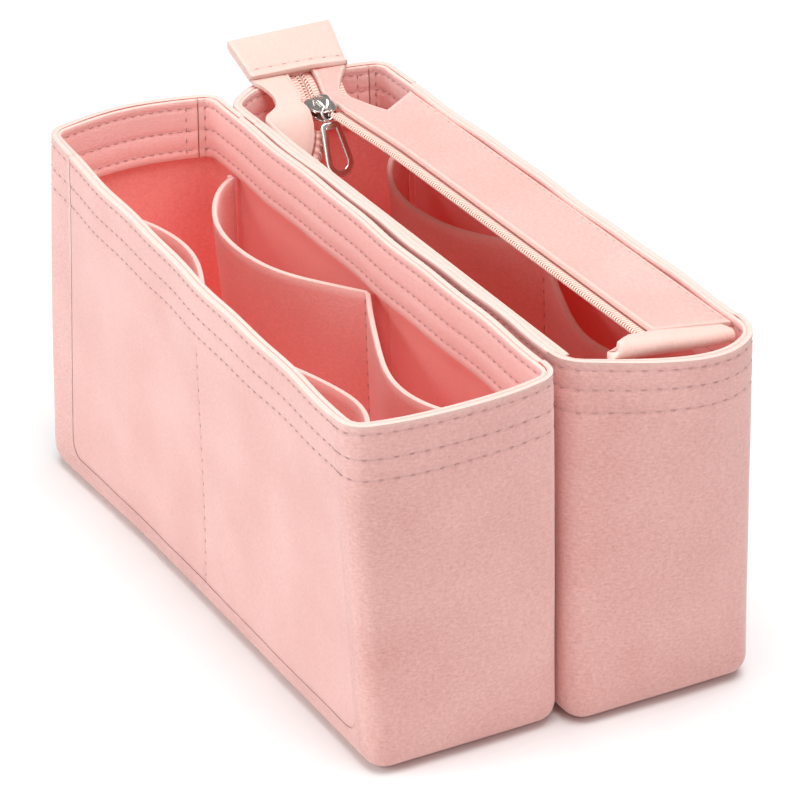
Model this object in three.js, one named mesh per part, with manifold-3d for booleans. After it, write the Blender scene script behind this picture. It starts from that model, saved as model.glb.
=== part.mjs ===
// A pair of soft felt organizer inserts for a handbag, standing side by side.
// One is open at the top, and the other has a zip cover whose two flaps are undone.
// Millimetres, +Z up. X runs along the length, and the near end is at +X.
// Y runs across: the open insert is centred on the origin and the zip insert stands beside it at +Y.
import * as THREE from "three";
import { mergeVertices } from "three/addons/utils/BufferGeometryUtils.js";
import Module from "manifold-3d";

const wasm = await Module();
wasm.setup();

// Driving dimensions
const insertLength = 300;
const insertWidth = 88;
const insertHeight = 164;
const feltThickness = 2.5;
const seatGap = 0.3;
const pairGap = 0.5;
const zipInsertShift = 4;
const halfLength = insertLength / 2;
const halfWidth = insertWidth / 2;

// Where the soft walls stand at the rim, away from the straight box that they have at the base
const openSoft = {
  frontOffset: -5.5,
  frontSplayOffset: -6,
  backOffset: -4.5,
  backSplayOffset: 0,
  farOffset: 1,
  farBowDepth: -7.5,
  nearOffset: 2.2,
  nearTiltOffset: 0,
  nearBowDepth: 7.8,
  nearSkewShare: 0,
};
const zipSoft = {
  frontOffset: -2.3,
  frontSplayOffset: 2.5,
  backOffset: -6.3,
  backSplayOffset: 2.7,
  farOffset: 1,
  farBowDepth: -6,
  nearOffset: -4,
  nearTiltOffset: 5,
  nearBowDepth: 16.5,
  nearSkewShare: 0.5,
};
const endReachShare = 4;

// The gusset, one strip that makes both ends and the base, and wraps round onto the two panels
const gusset = {
  edgeRadius: 7.5,
  cornerRadius: 10.5,
  farLap: 28,
  baseLap: 14,
  nearLap: 12,
  lapCorner: 9,
  stepsUp: 6,
  stepsBase: 8,
  stepsAcross: 6,
  stepsCorner: 4,
  stepsEdge: 3,
};

// The stiffening band inside the rim
const band = {
  height: 29,
  thickness: 2.2,
  seat: 0.6,
  jointFromBackShare: 0.62,
  jointGap: 0.4,
  stepsLong: 10,
  stepsEnd: 6,
  stepsCorner: 3,
  stepsUp: 3,
};

// The pocket strips, each sewn to its wall at both ends and at a middle line
const pocket = {
  thickness: 2.2,
  farFromEnd: 26,
  landWidth: 3,
  belowBand: 1,
  underFlap: 5.7,
  frontDipDepth: 2,
  backDipDepth: 7,
  skewShare: 0.7,
  widthShares: [0, 0.05, 0.12, 0.22, 0.34, 0.48, 0.62, 0.76, 0.88, 0.96, 1],
  heightShares: [0, 0.05, 0.15, 0.35, 0.6, 0.8, 1],
  fullnessShare: 0.42,
};
const pocketTop = insertHeight - band.height - pocket.belowBand;
const openPockets = {
  middleOffset: 3,
  nearFromEnd: 28,
  frontDepth: 30,
  backDepth: 25,
};
const zipPockets = {
  middleOffset: -2,
  nearFromEnd: 33,
  frontDepth: 24,
  backDepth: 26,
};

// The zip line, where the two coils meet when the cover is closed
const zip = {
  lineY: -7.9,
  coilGap: 0.3,
  coilDiameter: 2.4,
  coilSides: 10,
  tapeThickness: 0.8,
  tapeWidth: 15,
  farBelowRim: 5,
  farFromEnd: 24.6,
  riseHeight: 5.5,
  riseLength: 250,
};
const zipFarX = -halfLength + zip.farFromEnd;
const coilRadius = zip.coilDiameter / 2;
const coilOffset = zip.coilGap / 2 + coilRadius;

// The slider, which straddles the two coils
const slider = {
  offset: -2.2,
  forward: 0.6,
  length: 13,
  halfWidth: 5.7,
  rearTaper: 1.4,
  frontTaper: 2.6,
  plate: 0.9,
  channel: 3,
  wall: 0.6,
  tapeSlot: 1.5,
  postLength: 4,
  postWidth: 1.4,
  postAside: 1.1,
  bridgeAside: -1,
  bridgeWire: 1.2,
  bridgeFar: -3.6,
  bridgeNear: 6.3,
  bridgeHeight: 4.3,
  bridgeBend: 1.3,
  bridgeSteps: 18,
  wireSides: 5,
};
const plateTop = slider.channel / 2 + slider.plate;

// The pull that hangs from the slider's bridge: a small ring and a long drop-shaped loop
const pull = {
  pivotX: 5,
  pivotHeight: 2.9,
  restSlope: 58,
  restTurn: 8,
  ringRadius: 2.6,
  ringStretchShare: 1.3,
  ringWire: 0.9,
  ringSteps: 18,
  ringSides: 8,
  loopLength: 24,
  loopTipWidth: 10.4,
  loopEyeWidth: 5.2,
  loopBar: 1.2,
  loopThickness: 1.2,
  loopBevel: 0.25,
  loopSteps: 6,
};

// The right flap is level, with its far end cut on the slant
const rightFlap = {
  hingeFromWall: 11.45,
  hingeSkewShare: 0.0169,
  hingeBelowRim: 2.8,
  farAtWallFromEnd: 33,
  farAtZipFromEnd: 46,
  slantShare: 0.6,
  nearFromEnd: 9,
  zipMargin: 3.4,
};
const rightFlapNearX = halfLength - rightFlap.nearFromEnd;

// The left flap hangs against its wall, and turns up level as the zip closes
const leftFlap = {
  hingeFromWall: 4.45,
  hingeSkewShare: 0.0167,
  hingeBelowRim: 1.8,
  farFromEnd: 52,
  nearAtWallFromEnd: 16,
  nearAtZipFromEnd: 43,
  coilNearFromEnd: 59,
  zipMargin: 6.6,
  openAngle: 84,
};
const leftFlapFarX = -halfLength + leftFlap.farFromEnd;
const leftHingeHeight = insertHeight - leftFlap.hingeBelowRim;
const leftFlapReach = zip.lineY - coilOffset + coilRadius + halfWidth - leftFlap.hingeFromWall;

// The short closed stretch between the slider and the far tab, which climbs to the tab
const farStretch = {
  farFromEnd: 0.4,
  chainIntoSlider: 0.8,
  rampFromEnd: 17.5,
  climbHeight: 7.6,
  leftNearFromEnd: 17,
  rightFlapGap: 0.5,
  leftWidth: 14,
  rightWidth: 12,
  steps: 10,
};
const farTab = {
  stretchGap: 0.6,
  length: 25,
  riseHeight: 9.2,
  noseBowDepth: 0,
  backLowerDepth: 0,
  frontFromWall: 12,
  backFromWall: 28,
  thickness: 5.2,
  bottomOverRim: 1.2,
};
const nearTab = {
  flapGap: 0.6,
  noseFrontFromEnd: 1.8,
  noseBowDepth: 4.6,
  frontFromWall: 24,
  backFromWall: 13,
  bottomOverRim: -2.2,
  thickness: 7.4,
  riseHeight: 0,
  backLowerDepth: 4.6,
};
const tabRoot = { halfThickness: 0.6, length: 2.4 };
const tabSteps = 4;
const flapSteps = { along: 12, across: 5 };

// Materials, as they look in daylight
const felt = { color: 0xf5c4bf, roughness: 0.95, metalness: 0 };
const coverFelt = { color: 0xfbd2cb, roughness: 0.95, metalness: 0 };
const tapeCloth = { color: 0xf6c8bf, roughness: 0.85, metalness: 0 };
const coilPlastic = { color: 0xf9d6cc, roughness: 0.5, metalness: 0 };
const sliderMetal = { color: 0xcfcfcf, roughness: 0.25, metalness: 1 };

const part = new THREE.Group();
part.name = "organizer_pair";

// Moves one point of a straight insert to where the soft wall stands; the base stays as it is.
function relax(point, soft) {
  const up = point.z / insertHeight;
  const along = point.x / halfLength;
  const across = point.y / halfWidth;
  const frontShare = (1 - across) / 2;
  const frontMove = soft.frontOffset + soft.frontSplayOffset * along;
  const backMove = soft.backOffset + soft.backSplayOffset * along;
  const moveY = frontShare * frontMove + (1 - frontShare) * backMove;
  const bowShare = 1 - across * across;
  const nearShare = Math.pow(Math.max(0, (1 + along) / 2), endReachShare);
  const farShare = Math.pow(Math.max(0, (1 - along) / 2), endReachShare);
  const nearBow = soft.nearBowDepth * bowShare * (1 + soft.nearSkewShare * across);
  const nearMove = soft.nearOffset + soft.nearTiltOffset * across + nearBow;
  const farMove = soft.farOffset + soft.farBowDepth * bowShare;
  point.x += up * (nearShare * nearMove + farShare * farMove);
  point.y += up * moveY;
  return point;
}

// A sheet of even thickness: surface(i, j) gives a point of its outer face and the direction that faces out.
function sheet(surface, thickness, countI, countJ) {
  const geometry = new THREE.BoxGeometry(1, 1, 1, countI, countJ, 1);
  geometry.deleteAttribute("normal");
  geometry.deleteAttribute("uv");
  const position = geometry.getAttribute("position");
  const half = 1 / 2;
  for (let index = 0; index < position.count; index += 1) {
    const i = Math.round((position.getX(index) + half) * countI);
    const j = Math.round((position.getY(index) + half) * countJ);
    const depth = position.getZ(index) > 0 ? 0 : thickness;
    const { point, outward } = surface(i, j);
    position.setXYZ(
      index,
      point.x - outward.x * depth,
      point.y - outward.y * depth,
      point.z - outward.z * depth,
    );
  }
  return facingOut(mergeVertices(geometry));
}

// Turns the faces of a closed geometry round where its volume comes out negative.
function facingOut(geometry) {
  const position = geometry.getAttribute("position");
  const index = geometry.getIndex();
  const a = new THREE.Vector3();
  const b = new THREE.Vector3();
  const c = new THREE.Vector3();
  let volume = 0;
  for (let k = 0; k < index.count; k += 3) {
    a.fromBufferAttribute(position, index.getX(k));
    b.fromBufferAttribute(position, index.getX(k + 1));
    c.fromBufferAttribute(position, index.getX(k + 2));
    volume += a.dot(b.cross(c));
  }
  if (volume < 0) {
    for (let k = 0; k < index.count; k += 3) {
      const first = index.getX(k);
      index.setX(k, index.getX(k + 1));
      index.setX(k + 1, first);
    }
  }
  return geometry;
}

// Applies the soft shape of an insert to every point of a geometry.
function relaxed(geometry, soft) {
  const position = geometry.getAttribute("position");
  const point = new THREE.Vector3();
  for (let index = 0; index < position.count; index += 1) {
    relax(point.fromBufferAttribute(position, index), soft);
    position.setXYZ(index, point.x, point.y, point.z);
  }
  return geometry;
}

function addMesh(group, name, geometry, look) {
  geometry.computeVertexNormals();
  const mesh = new THREE.Mesh(geometry, new THREE.MeshStandardMaterial(look));
  mesh.name = name;
  group.add(mesh);
  return mesh;
}

// The closed shape of a geometry as a solid for joins and cuts, and back again
function solidOf(geometry) {
  const bare = geometry.clone();
  bare.deleteAttribute("normal");
  bare.deleteAttribute("uv");
  const merged = mergeVertices(bare);
  return new wasm.Manifold(
    new wasm.Mesh({
      numProp: 3,
      vertProperties: merged.getAttribute("position").array,
      triVerts: new Uint32Array(merged.getIndex().array),
    }),
  );
}

function geometryOf(solid) {
  const mesh = solid.getMesh();
  const geometry = new THREE.BufferGeometry();
  geometry.setAttribute("position", new THREE.BufferAttribute(mesh.vertProperties, 3));
  geometry.setIndex(new THREE.BufferAttribute(mesh.triVerts, 1));
  return geometry;
}

function boxSolid(x0, x1, y0, y1, z0, z1) {
  const box = new THREE.BoxGeometry(x1 - x0, y1 - y0, z1 - z0);
  box.translate((x0 + x1) / 2, (y0 + y1) / 2, (z0 + z1) / 2);
  return solidOf(box);
}

// Evenly spaced shares from 0 to 1
function shares(steps) {
  return Array.from({ length: steps + 1 }, (_, k) => k / steps);
}

// The U that the gusset follows in the X-Z plane: from the far rim down, along the base, up to the near rim.
// Each station has its place on the outer U and its place on the U of the lap's edge.
function gussetPath() {
  const radius = gusset.cornerRadius;
  const lapRadius = gusset.lapCorner;
  const outer = { farX: -halfLength + radius, nearX: halfLength - radius, z: radius };
  const lap = {
    farX: -halfLength + gusset.farLap + lapRadius,
    nearX: halfLength - gusset.nearLap - lapRadius,
    z: gusset.baseLap + lapRadius,
  };
  const stations = [];
  const up = (startShare, outX, outerX, lapX) => {
    for (const share of shares(gusset.stepsUp)) {
      const rimShare = Math.abs(startShare - share);
      const z = outer.z + rimShare * (insertHeight - outer.z);
      const lapZ = lap.z + rimShare * (insertHeight - lap.z);
      stations.push({ x: outerX + radius * outX, z, outX, outZ: 0, lapX: lapX + lapRadius * outX, lapZ });
    }
  };
  const corner = (startAngle, outerX, lapX) => {
    for (const share of shares(gusset.stepsCorner).slice(1, -1)) {
      const angle = startAngle + (share * Math.PI) / 2;
      const outX = Math.cos(angle);
      const outZ = Math.sin(angle);
      stations.push({
        x: outerX + radius * outX,
        z: outer.z + radius * outZ,
        outX,
        outZ,
        lapX: lapX + lapRadius * outX,
        lapZ: lap.z + lapRadius * outZ,
      });
    }
  };
  up(1, -1, outer.farX, lap.farX);
  corner(Math.PI, outer.farX, lap.farX);
  for (const share of shares(gusset.stepsBase)) {
    const x = outer.farX + share * (outer.nearX - outer.farX);
    const lapX = lap.farX + share * (lap.nearX - lap.farX);
    stations.push({ x, z: 0, outX: 0, outZ: -1, lapX, lapZ: gusset.baseLap });
  }
  corner(Math.PI * 1.5, outer.nearX, lap.nearX);
  up(0, 1, outer.nearX, lap.nearX);
  return stations;
}

// The section of the gusset: a lap on the front panel, a rounded edge, the flat, and the same at the back.
function gussetSection() {
  const radius = gusset.edgeRadius;
  const flatHalf = halfWidth - radius;
  const section = [];
  const edge = shares(gusset.stepsEdge);
  section.push({ y: -halfWidth, lap: true, sideOut: -1 });
  for (const share of edge) {
    const angle = (share * Math.PI) / 2;
    section.push({
      y: -flatHalf - radius * Math.cos(angle),
      depth: radius - radius * Math.sin(angle),
      sideOut: -Math.cos(angle),
    });
  }
  for (const share of shares(gusset.stepsAcross).slice(1, -1)) {
    section.push({ y: -flatHalf + share * 2 * flatHalf, depth: 0, sideOut: 0 });
  }
  for (const share of edge) {
    const angle = (share * Math.PI) / 2;
    section.push({
      y: flatHalf + radius * Math.sin(angle),
      depth: radius - radius * Math.cos(angle),
      sideOut: Math.sin(angle),
    });
  }
  section.push({ y: halfWidth, lap: true, sideOut: 1 });
  return section;
}

function gussetGeometry(soft) {
  const path = gussetPath();
  const section = gussetSection();
  const surface = (i, j) => {
    const station = path[i];
    const profile = section[j];
    const outward = { x: 0, y: profile.sideOut, z: 0 };
    if (profile.lap) return { point: { x: station.lapX, y: profile.y, z: station.lapZ }, outward };
    const faceShare = Math.sqrt(1 - profile.sideOut * profile.sideOut);
    outward.x = station.outX * faceShare;
    outward.z = station.outZ * faceShare;
    const x = station.x - station.outX * profile.depth;
    const z = station.z - station.outZ * profile.depth;
    return { point: { x, y: profile.y, z }, outward };
  };
  const geometry = sheet(surface, feltThickness, path.length - 1, section.length - 1);
  return relaxed(geometry, soft);
}

// A front or back panel: columns from the gusset's lap up to the rim.
function panelGeometry(side, soft) {
  const path = gussetPath().slice(gusset.stepsUp, -gusset.stepsUp);
  const surface = (i, j) => {
    const station = path[i];
    const x = station.lapX - station.outX * seatGap;
    const bottom = station.lapZ - station.outZ * seatGap;
    const z = bottom + (j / gusset.stepsUp) * (insertHeight - bottom);
    return { point: { x, y: side * halfWidth, z }, outward: { x: 0, y: side, z: 0 } };
  };
  const geometry = sheet(surface, feltThickness, path.length - 1, gusset.stepsUp);
  return relaxed(geometry, soft);
}

// The band's loop in plan, from one side of its joint in the far end round to the other side.
function bandLoop() {
  const inset = feltThickness + band.seat;
  const radius = gusset.edgeRadius - inset;
  const cornerX = halfLength - inset - radius;
  const cornerY = halfWidth - inset - radius;
  const jointY = cornerY * band.jointFromBackShare;
  const loop = [];
  const put = (x, y, outX, outY) => loop.push({ x, y, outX, outY });
  const corner = (centreX, centreY, startAngle) => {
    for (const share of shares(band.stepsCorner)) {
      const angle = startAngle + (share * Math.PI) / 2;
      const outX = Math.cos(angle);
      const outY = Math.sin(angle);
      put(centreX + radius * outX, centreY + radius * outY, outX, outY);
    }
  };
  const straight = (steps, x0, y0, x1, y1, outX, outY) => {
    for (const share of shares(steps).slice(1, -1)) {
      put(x0 + share * (x1 - x0), y0 + share * (y1 - y0), outX, outY);
    }
  };
  const endX = cornerX + radius;
  const sideY = cornerY + radius;
  put(-endX, jointY - band.jointGap / 2, -1, 0);
  straight(band.stepsEnd, -endX, jointY, -endX, -cornerY, -1, 0);
  corner(-cornerX, -cornerY, Math.PI);
  straight(band.stepsLong, -cornerX, -sideY, cornerX, -sideY, 0, -1);
  corner(cornerX, -cornerY, Math.PI * 1.5);
  straight(band.stepsEnd, endX, -cornerY, endX, cornerY, 1, 0);
  corner(cornerX, cornerY, 0);
  straight(band.stepsLong, cornerX, sideY, -cornerX, sideY, 0, 1);
  corner(-cornerX, cornerY, Math.PI / 2);
  put(-endX, jointY + band.jointGap / 2, -1, 0);
  return loop;
}

function bandGeometry(soft) {
  const loop = bandLoop();
  const surface = (i, j) => {
    const { x, y, outX, outY } = loop[i];
    const z = insertHeight - band.height * (1 - j / band.stepsUp);
    return { point: { x, y, z }, outward: { x: outX, y: outY, z: 0 } };
  };
  return relaxed(sheet(surface, band.thickness, loop.length - 1, band.stepsUp), soft);
}

// One pocket strip: its top edge dips between the sewn lines, and it stands out most toward the ends.
function pocketGeometry(side, top, depth, dipDepth, place, soft) {
  const stations = [];
  const farX = -halfLength + pocket.farFromEnd;
  const nearX = halfLength - place.nearFromEnd;
  const span = (x0, x1, mirrored) => {
    const start = x0 + pocket.landWidth / 2;
    const width = x1 - x0 - pocket.landWidth;
    for (const share of pocket.widthShares) {
      const skewed = mirrored ? 1 - share : share;
      const out = Math.sin(Math.PI * Math.pow(skewed, pocket.skewShare));
      stations.push({ x: start + share * width, out: Math.abs(out), dip: Math.sin(Math.PI * share) });
    }
  };
  stations.push({ x: farX - pocket.landWidth / 2, out: 0, dip: 0 });
  span(farX, place.middleOffset, false);
  span(place.middleOffset, nearX, true);
  stations.push({ x: nearX + pocket.landWidth / 2, out: 0, dip: 0 });
  const seat = halfWidth - feltThickness - seatGap - pocket.thickness;
  const bottom = gusset.edgeRadius + seatGap;
  const offsetAt = (i, j) => {
    const fullness = Math.pow(pocket.heightShares[j], pocket.fullnessShare);
    return depth * stations[i].out * fullness;
  };
  const surface = (i, j) => {
    const before = Math.max(0, i - 1);
    const after = Math.min(stations.length - 1, i + 1);
    const stepX = stations[after].x - stations[before].x;
    const stepY = -side * (offsetAt(after, j) - offsetAt(before, j));
    const stepLength = Math.hypot(stepX, stepY);
    const height = top - dipDepth * stations[i].dip - bottom;
    return {
      point: {
        x: stations[i].x,
        y: side * (seat - offsetAt(i, j)),
        z: bottom + pocket.heightShares[j] * height,
      },
      outward: { x: (side * stepY) / stepLength, y: (-side * stepX) / stepLength, z: 0 },
    };
  };
  const rows = pocket.heightShares.length - 1;
  return relaxed(sheet(surface, pocket.thickness, stations.length - 1, rows), soft);
}

// One insert's walls, band and pockets, in a group that stands at its own centre
function makeInsert(prefix, centreX, centreY, frontPocketTop, place, soft) {
  const group = new THREE.Group();
  group.position.set(centreX, centreY, 0);
  addMesh(group, prefix + "_front_panel", panelGeometry(-1, soft), felt);
  addMesh(group, prefix + "_back_panel", panelGeometry(1, soft), felt);
  addMesh(group, prefix + "_gusset", gussetGeometry(soft), felt);
  addMesh(group, prefix + "_rim_band", bandGeometry(soft), felt);
  const { frontDepth, backDepth } = place;
  const { frontDipDepth, backDipDepth } = pocket;
  const frontPockets = pocketGeometry(-1, frontPocketTop, frontDepth, frontDipDepth, place, soft);
  const backPockets = pocketGeometry(1, pocketTop, backDepth, backDipDepth, place, soft);
  addMesh(group, prefix + "_front_pockets", frontPockets, felt);
  addMesh(group, prefix + "_back_pockets", backPockets, felt);
  part.add(group);
  return group;
}

// The height of the zip line at a place along the insert
function zipHeight(x) {
  return insertHeight - zip.farBelowRim + (zip.riseHeight / zip.riseLength) * (x - zipFarX);
}

// A flat four-sided sheet between two edges; corners are given as points of its upper face.
function flatSheet(corner, thickness, countI, countJ) {
  const surface = (i, j) => ({ point: corner(i / countI, j / countJ), outward: { x: 0, y: 0, z: 1 } });
  return sheet(surface, thickness, countI, countJ);
}

// A round bar from one point to another
function barGeometry(start, end, radius, sides) {
  const outline = new THREE.Shape();
  outline.absarc(0, 0, radius, 0, Math.PI * 2, false);
  const path = new THREE.LineCurve3(start, end);
  const settings = { steps: 1, curveSegments: sides, bevelEnabled: false, extrudePath: path };
  return mergedExtrude(new THREE.ExtrudeGeometry(outline, settings));
}

function mergedExtrude(geometry) {
  geometry.deleteAttribute("normal");
  geometry.deleteAttribute("uv");
  return facingOut(mergeVertices(geometry));
}

function coilGeometry(x0, x1, y) {
  const start = new THREE.Vector3(x0, y, zipHeight(x0));
  const end = new THREE.Vector3(x1, y, zipHeight(x1));
  return barGeometry(start, end, coilRadius, zip.coilSides);
}

// The tape of one side: level from the coil to the flap's edge, and then flat under the flap.
function tapeGeometry(x0, x1, side, flap) {
  const inner = zip.lineY + side * (coilOffset + coilRadius + seatGap);
  const columns = [inner, zipEdge(side, flap), inner + side * zip.tapeWidth];
  const surface = (i, j) => {
    const x = x0 + i * (x1 - x0);
    const y = columns[j];
    const under = flapTopAt(side, flap, x, y) - feltThickness - seatGap;
    const z = j === 0 ? zipHeight(x) + zip.tapeThickness / 2 : under;
    return { point: { x, y, z }, outward: { x: 0, y: 0, z: 1 } };
  };
  return sheet(surface, zip.tapeThickness, 1, columns.length - 1);
}

// The zip edge of a flap, and the height of its upper face, which slopes from the wall to that edge
function zipEdge(side, flap) {
  return zip.lineY + side * (coilOffset + coilRadius + flap.zipMargin);
}

// A flap's edge at its wall, which is also its hinge line: side is -1 for the left flap and 1 for the right
function wallEdge(side, flap, x) {
  return side * (halfWidth - flap.hingeFromWall) + flap.hingeSkewShare * x;
}

function flapTopAt(side, flap, x, y) {
  const wallY = wallEdge(side, flap, x);
  const across = (y - wallY) / (zipEdge(side, flap) - wallY);
  const wallTop = insertHeight - flap.hingeBelowRim + feltThickness / 2;
  return wallTop + across * (zipHeight(x) + flapOverTape - wallTop);
}

// The height of a flap's upper face where it lies on its tape
const flapOverTape = zip.tapeThickness / 2 + seatGap + feltThickness;

function flapGeometry(side, flap, ends) {
  const corner = (along, across) => {
    const { farX, nearX } = ends(across);
    const x = farX + along * (nearX - farX);
    const wallY = wallEdge(side, flap, x);
    const y = wallY + across * (zipEdge(side, flap) - wallY);
    return { x, y, z: flapTopAt(side, flap, x, y) };
  };
  return flatSheet(corner, feltThickness, flapSteps.along, flapSteps.across);
}

function makeRightFlap(group) {
  const ends = (across) => {
    const slant = Math.min(1, across / rightFlap.slantShare);
    const fromEnd = rightFlap.farAtWallFromEnd;
    const farX = -halfLength + fromEnd + slant * (rightFlap.farAtZipFromEnd - fromEnd);
    return { farX, nearX: rightFlapNearX };
  };
  const coilFar = zipFarX + slider.forward + slider.length / 2 + seatGap;
  addMesh(group, "right_flap", flapGeometry(1, rightFlap, ends), coverFelt);
  addMesh(group, "right_tape", tapeGeometry(coilFar, rightFlapNearX, 1, rightFlap), tapeCloth);
  addMesh(group, "right_coil", coilGeometry(coilFar, rightFlapNearX, zip.lineY + coilOffset), coilPlastic);
}

// The left flap is worked out as it lies when closed, and then turned down about its hinge line.
function makeLeftFlap(group) {
  const ends = (across) => {
    const fromEnd = leftFlap.nearAtWallFromEnd;
    const nearX = halfLength - fromEnd - across * (leftFlap.nearAtZipFromEnd - fromEnd);
    return { farX: leftFlapFarX, nearX };
  };
  const coilNearX = halfLength - leftFlap.coilNearFromEnd;
  const flap = flapGeometry(-1, leftFlap, ends);
  const tape = tapeGeometry(leftFlapFarX, coilNearX, -1, leftFlap);
  const coil = coilGeometry(leftFlapFarX, coilNearX, zip.lineY - coilOffset);
  const hinge = new THREE.Group();
  const hingeY = wallEdge(-1, leftFlap, 0);
  hinge.position.set(0, hingeY, leftHingeHeight);
  const hingeAxis = new THREE.Vector3(1, leftFlap.hingeSkewShare, 0).normalize();
  hinge.quaternion.setFromAxisAngle(hingeAxis, -THREE.MathUtils.degToRad(leftFlap.openAngle));
  for (const geometry of [flap, tape, coil]) {
    geometry.translate(0, -hingeY, -leftHingeHeight);
  }
  addMesh(hinge, "left_flap", flap, coverFelt);
  addMesh(hinge, "left_tape", tape, tapeCloth);
  addMesh(hinge, "left_coil", coil, coilPlastic);
  group.add(hinge);
}

// The height of the closed stretch above the zip line: level in the slider, then a smooth climb to the tab
function climbAt(x) {
  const rampX = -halfLength + farStretch.rampFromEnd;
  const share = Math.max(0, (rampX - x) / (farStretch.rampFromEnd - farStretch.farFromEnd));
  return farStretch.climbHeight * share * share * (2 - share);
}

function stretchGeometry(nearX, y0, y1, topOverLine, thickness) {
  const farX = -halfLength + farStretch.farFromEnd;
  const corner = (along, across) => {
    const x = farX + along * (nearX - farX);
    return { x, y: y0 + across * (y1 - y0), z: zipHeight(x) + climbAt(x) + topOverLine };
  };
  return flatSheet(corner, thickness, farStretch.steps, 1);
}

function makeFarStretch(group) {
  const coilsHalf = coilOffset + coilRadius;
  const leftCoilY = zip.lineY - coilsHalf;
  const rightCoilY = zip.lineY + coilsHalf;
  const chainNearX = zipFarX + farStretch.chainIntoSlider;
  const chain = stretchGeometry(chainNearX, leftCoilY, rightCoilY, coilRadius, zip.coilDiameter);
  addMesh(group, "far_chain", chain, coilPlastic);
  const tapeTop = zip.tapeThickness / 2;
  const leftTape = stretchGeometry(
    chainNearX,
    leftCoilY - seatGap - zip.tapeWidth,
    leftCoilY - seatGap,
    tapeTop,
    zip.tapeThickness,
  );
  const rightTape = stretchGeometry(
    chainNearX,
    rightCoilY + seatGap,
    rightCoilY + seatGap + zip.tapeWidth,
    tapeTop,
    zip.tapeThickness,
  );
  addMesh(group, "far_left_tape", leftTape, tapeCloth);
  addMesh(group, "far_right_tape", rightTape, tapeCloth);
  const leftEdge = leftCoilY - leftFlap.zipMargin;
  const rightEdge = rightCoilY + rightFlap.zipMargin;
  const leftStrip = stretchGeometry(
    -halfLength + farStretch.leftNearFromEnd,
    leftEdge - farStretch.leftWidth,
    leftEdge,
    flapOverTape,
    feltThickness,
  );
  const rightStrip = stretchGeometry(
    -halfLength + rightFlap.farAtZipFromEnd - farStretch.rightFlapGap,
    rightEdge,
    rightEdge + farStretch.rightWidth,
    flapOverTape,
    feltThickness,
  );
  addMesh(group, "far_left_strip", leftStrip, coverFelt);
  addMesh(group, "far_right_strip", rightStrip, coverFelt);
}

// A plate of the slider: a flat outline with its four corners cut
function sliderPlate(bottomHeight) {
  const half = slider.length / 2;
  const wide = slider.halfWidth;
  const rear = slider.rearTaper;
  const front = slider.frontTaper;
  const outline = new THREE.Shape();
  outline.moveTo(-half, -wide + rear);
  outline.lineTo(-half + rear, -wide);
  outline.lineTo(half - front, -wide);
  outline.lineTo(half, -wide + front);
  outline.lineTo(half, wide - front);
  outline.lineTo(half - front, wide);
  outline.lineTo(-half + rear, wide);
  outline.lineTo(-half, wide - rear);
  outline.closePath();
  const plate = new THREE.ExtrudeGeometry(outline, { depth: slider.plate, bevelEnabled: false });
  plate.translate(0, 0, bottomHeight);
  return solidOf(plate);
}

function makeSlider(group) {
  const channelHalf = slider.channel / 2;
  const slotHalf = slider.tapeSlot / 2;
  const plateMiddle = channelHalf + slider.plate / 2;
  const wallFar = -slider.length / 2 + slider.rearTaper;
  const wallNear = slider.length / 2 - slider.frontTaper;
  const wallInner = slider.halfWidth - slider.wall;
  let body = sliderPlate(channelHalf).add(sliderPlate(-plateTop));
  for (const side of [-1, 1]) {
    const y0 = Math.min(side * wallInner, side * slider.halfWidth);
    const y1 = Math.max(side * wallInner, side * slider.halfWidth);
    body = body.add(boxSolid(wallFar, wallNear, y0, y1, slotHalf, plateMiddle));
    body = body.add(boxSolid(wallFar, wallNear, y0, y1, -plateMiddle, -slotHalf));
  }
  const postHalf = slider.postWidth / 2;
  const postNear = slider.length / 2 - slider.wall;
  const postY0 = slider.postAside - postHalf;
  const postY1 = slider.postAside + postHalf;
  const post = boxSolid(postNear - slider.postLength, postNear, postY0, postY1, -plateMiddle, plateMiddle);
  body = body.add(post);
  const frame = new THREE.Group();
  const sliderX = zipFarX + slider.forward;
  frame.position.set(sliderX, zip.lineY + slider.offset, zipHeight(sliderX));
  frame.rotation.y = -Math.atan(zip.riseHeight / zip.riseLength);
  addMesh(frame, "slider_body", geometryOf(body), sliderMetal);
  addMesh(frame, "slider_bridge", bridgeGeometry(), sliderMetal);
  makePull(frame);
  group.add(frame);
}

// The bridge is a wire that rises from the top plate, runs over it and comes down at the front.
function bridgeGeometry() {
  const { bridgeFar, bridgeNear, bridgeHeight, bridgeBend, bridgeAside } = slider;
  const foot = plateTop + seatGap;
  const top = plateTop + bridgeHeight;
  const at = (x, z) => new THREE.Vector3(x, bridgeAside, z);
  const path = new THREE.CurvePath();
  path.add(new THREE.LineCurve3(at(bridgeFar, foot), at(bridgeFar, top - bridgeBend)));
  path.add(
    new THREE.QuadraticBezierCurve3(
      at(bridgeFar, top - bridgeBend),
      at(bridgeFar, top),
      at(bridgeFar + bridgeBend, top),
    ),
  );
  path.add(new THREE.LineCurve3(at(bridgeFar + bridgeBend, top), at(bridgeNear - bridgeBend, top)));
  path.add(
    new THREE.QuadraticBezierCurve3(
      at(bridgeNear - bridgeBend, top),
      at(bridgeNear, top),
      at(bridgeNear, top - bridgeBend),
    ),
  );
  path.add(new THREE.LineCurve3(at(bridgeNear, top - bridgeBend), at(bridgeNear, foot)));
  const wire = new THREE.Shape();
  wire.absarc(0, 0, slider.bridgeWire / 2, 0, Math.PI * 2, false);
  const settings = {
    steps: slider.bridgeSteps,
    curveSegments: slider.wireSides,
    bevelEnabled: false,
    extrudePath: path,
  };
  return mergedExtrude(new THREE.ExtrudeGeometry(wire, settings));
}

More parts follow.
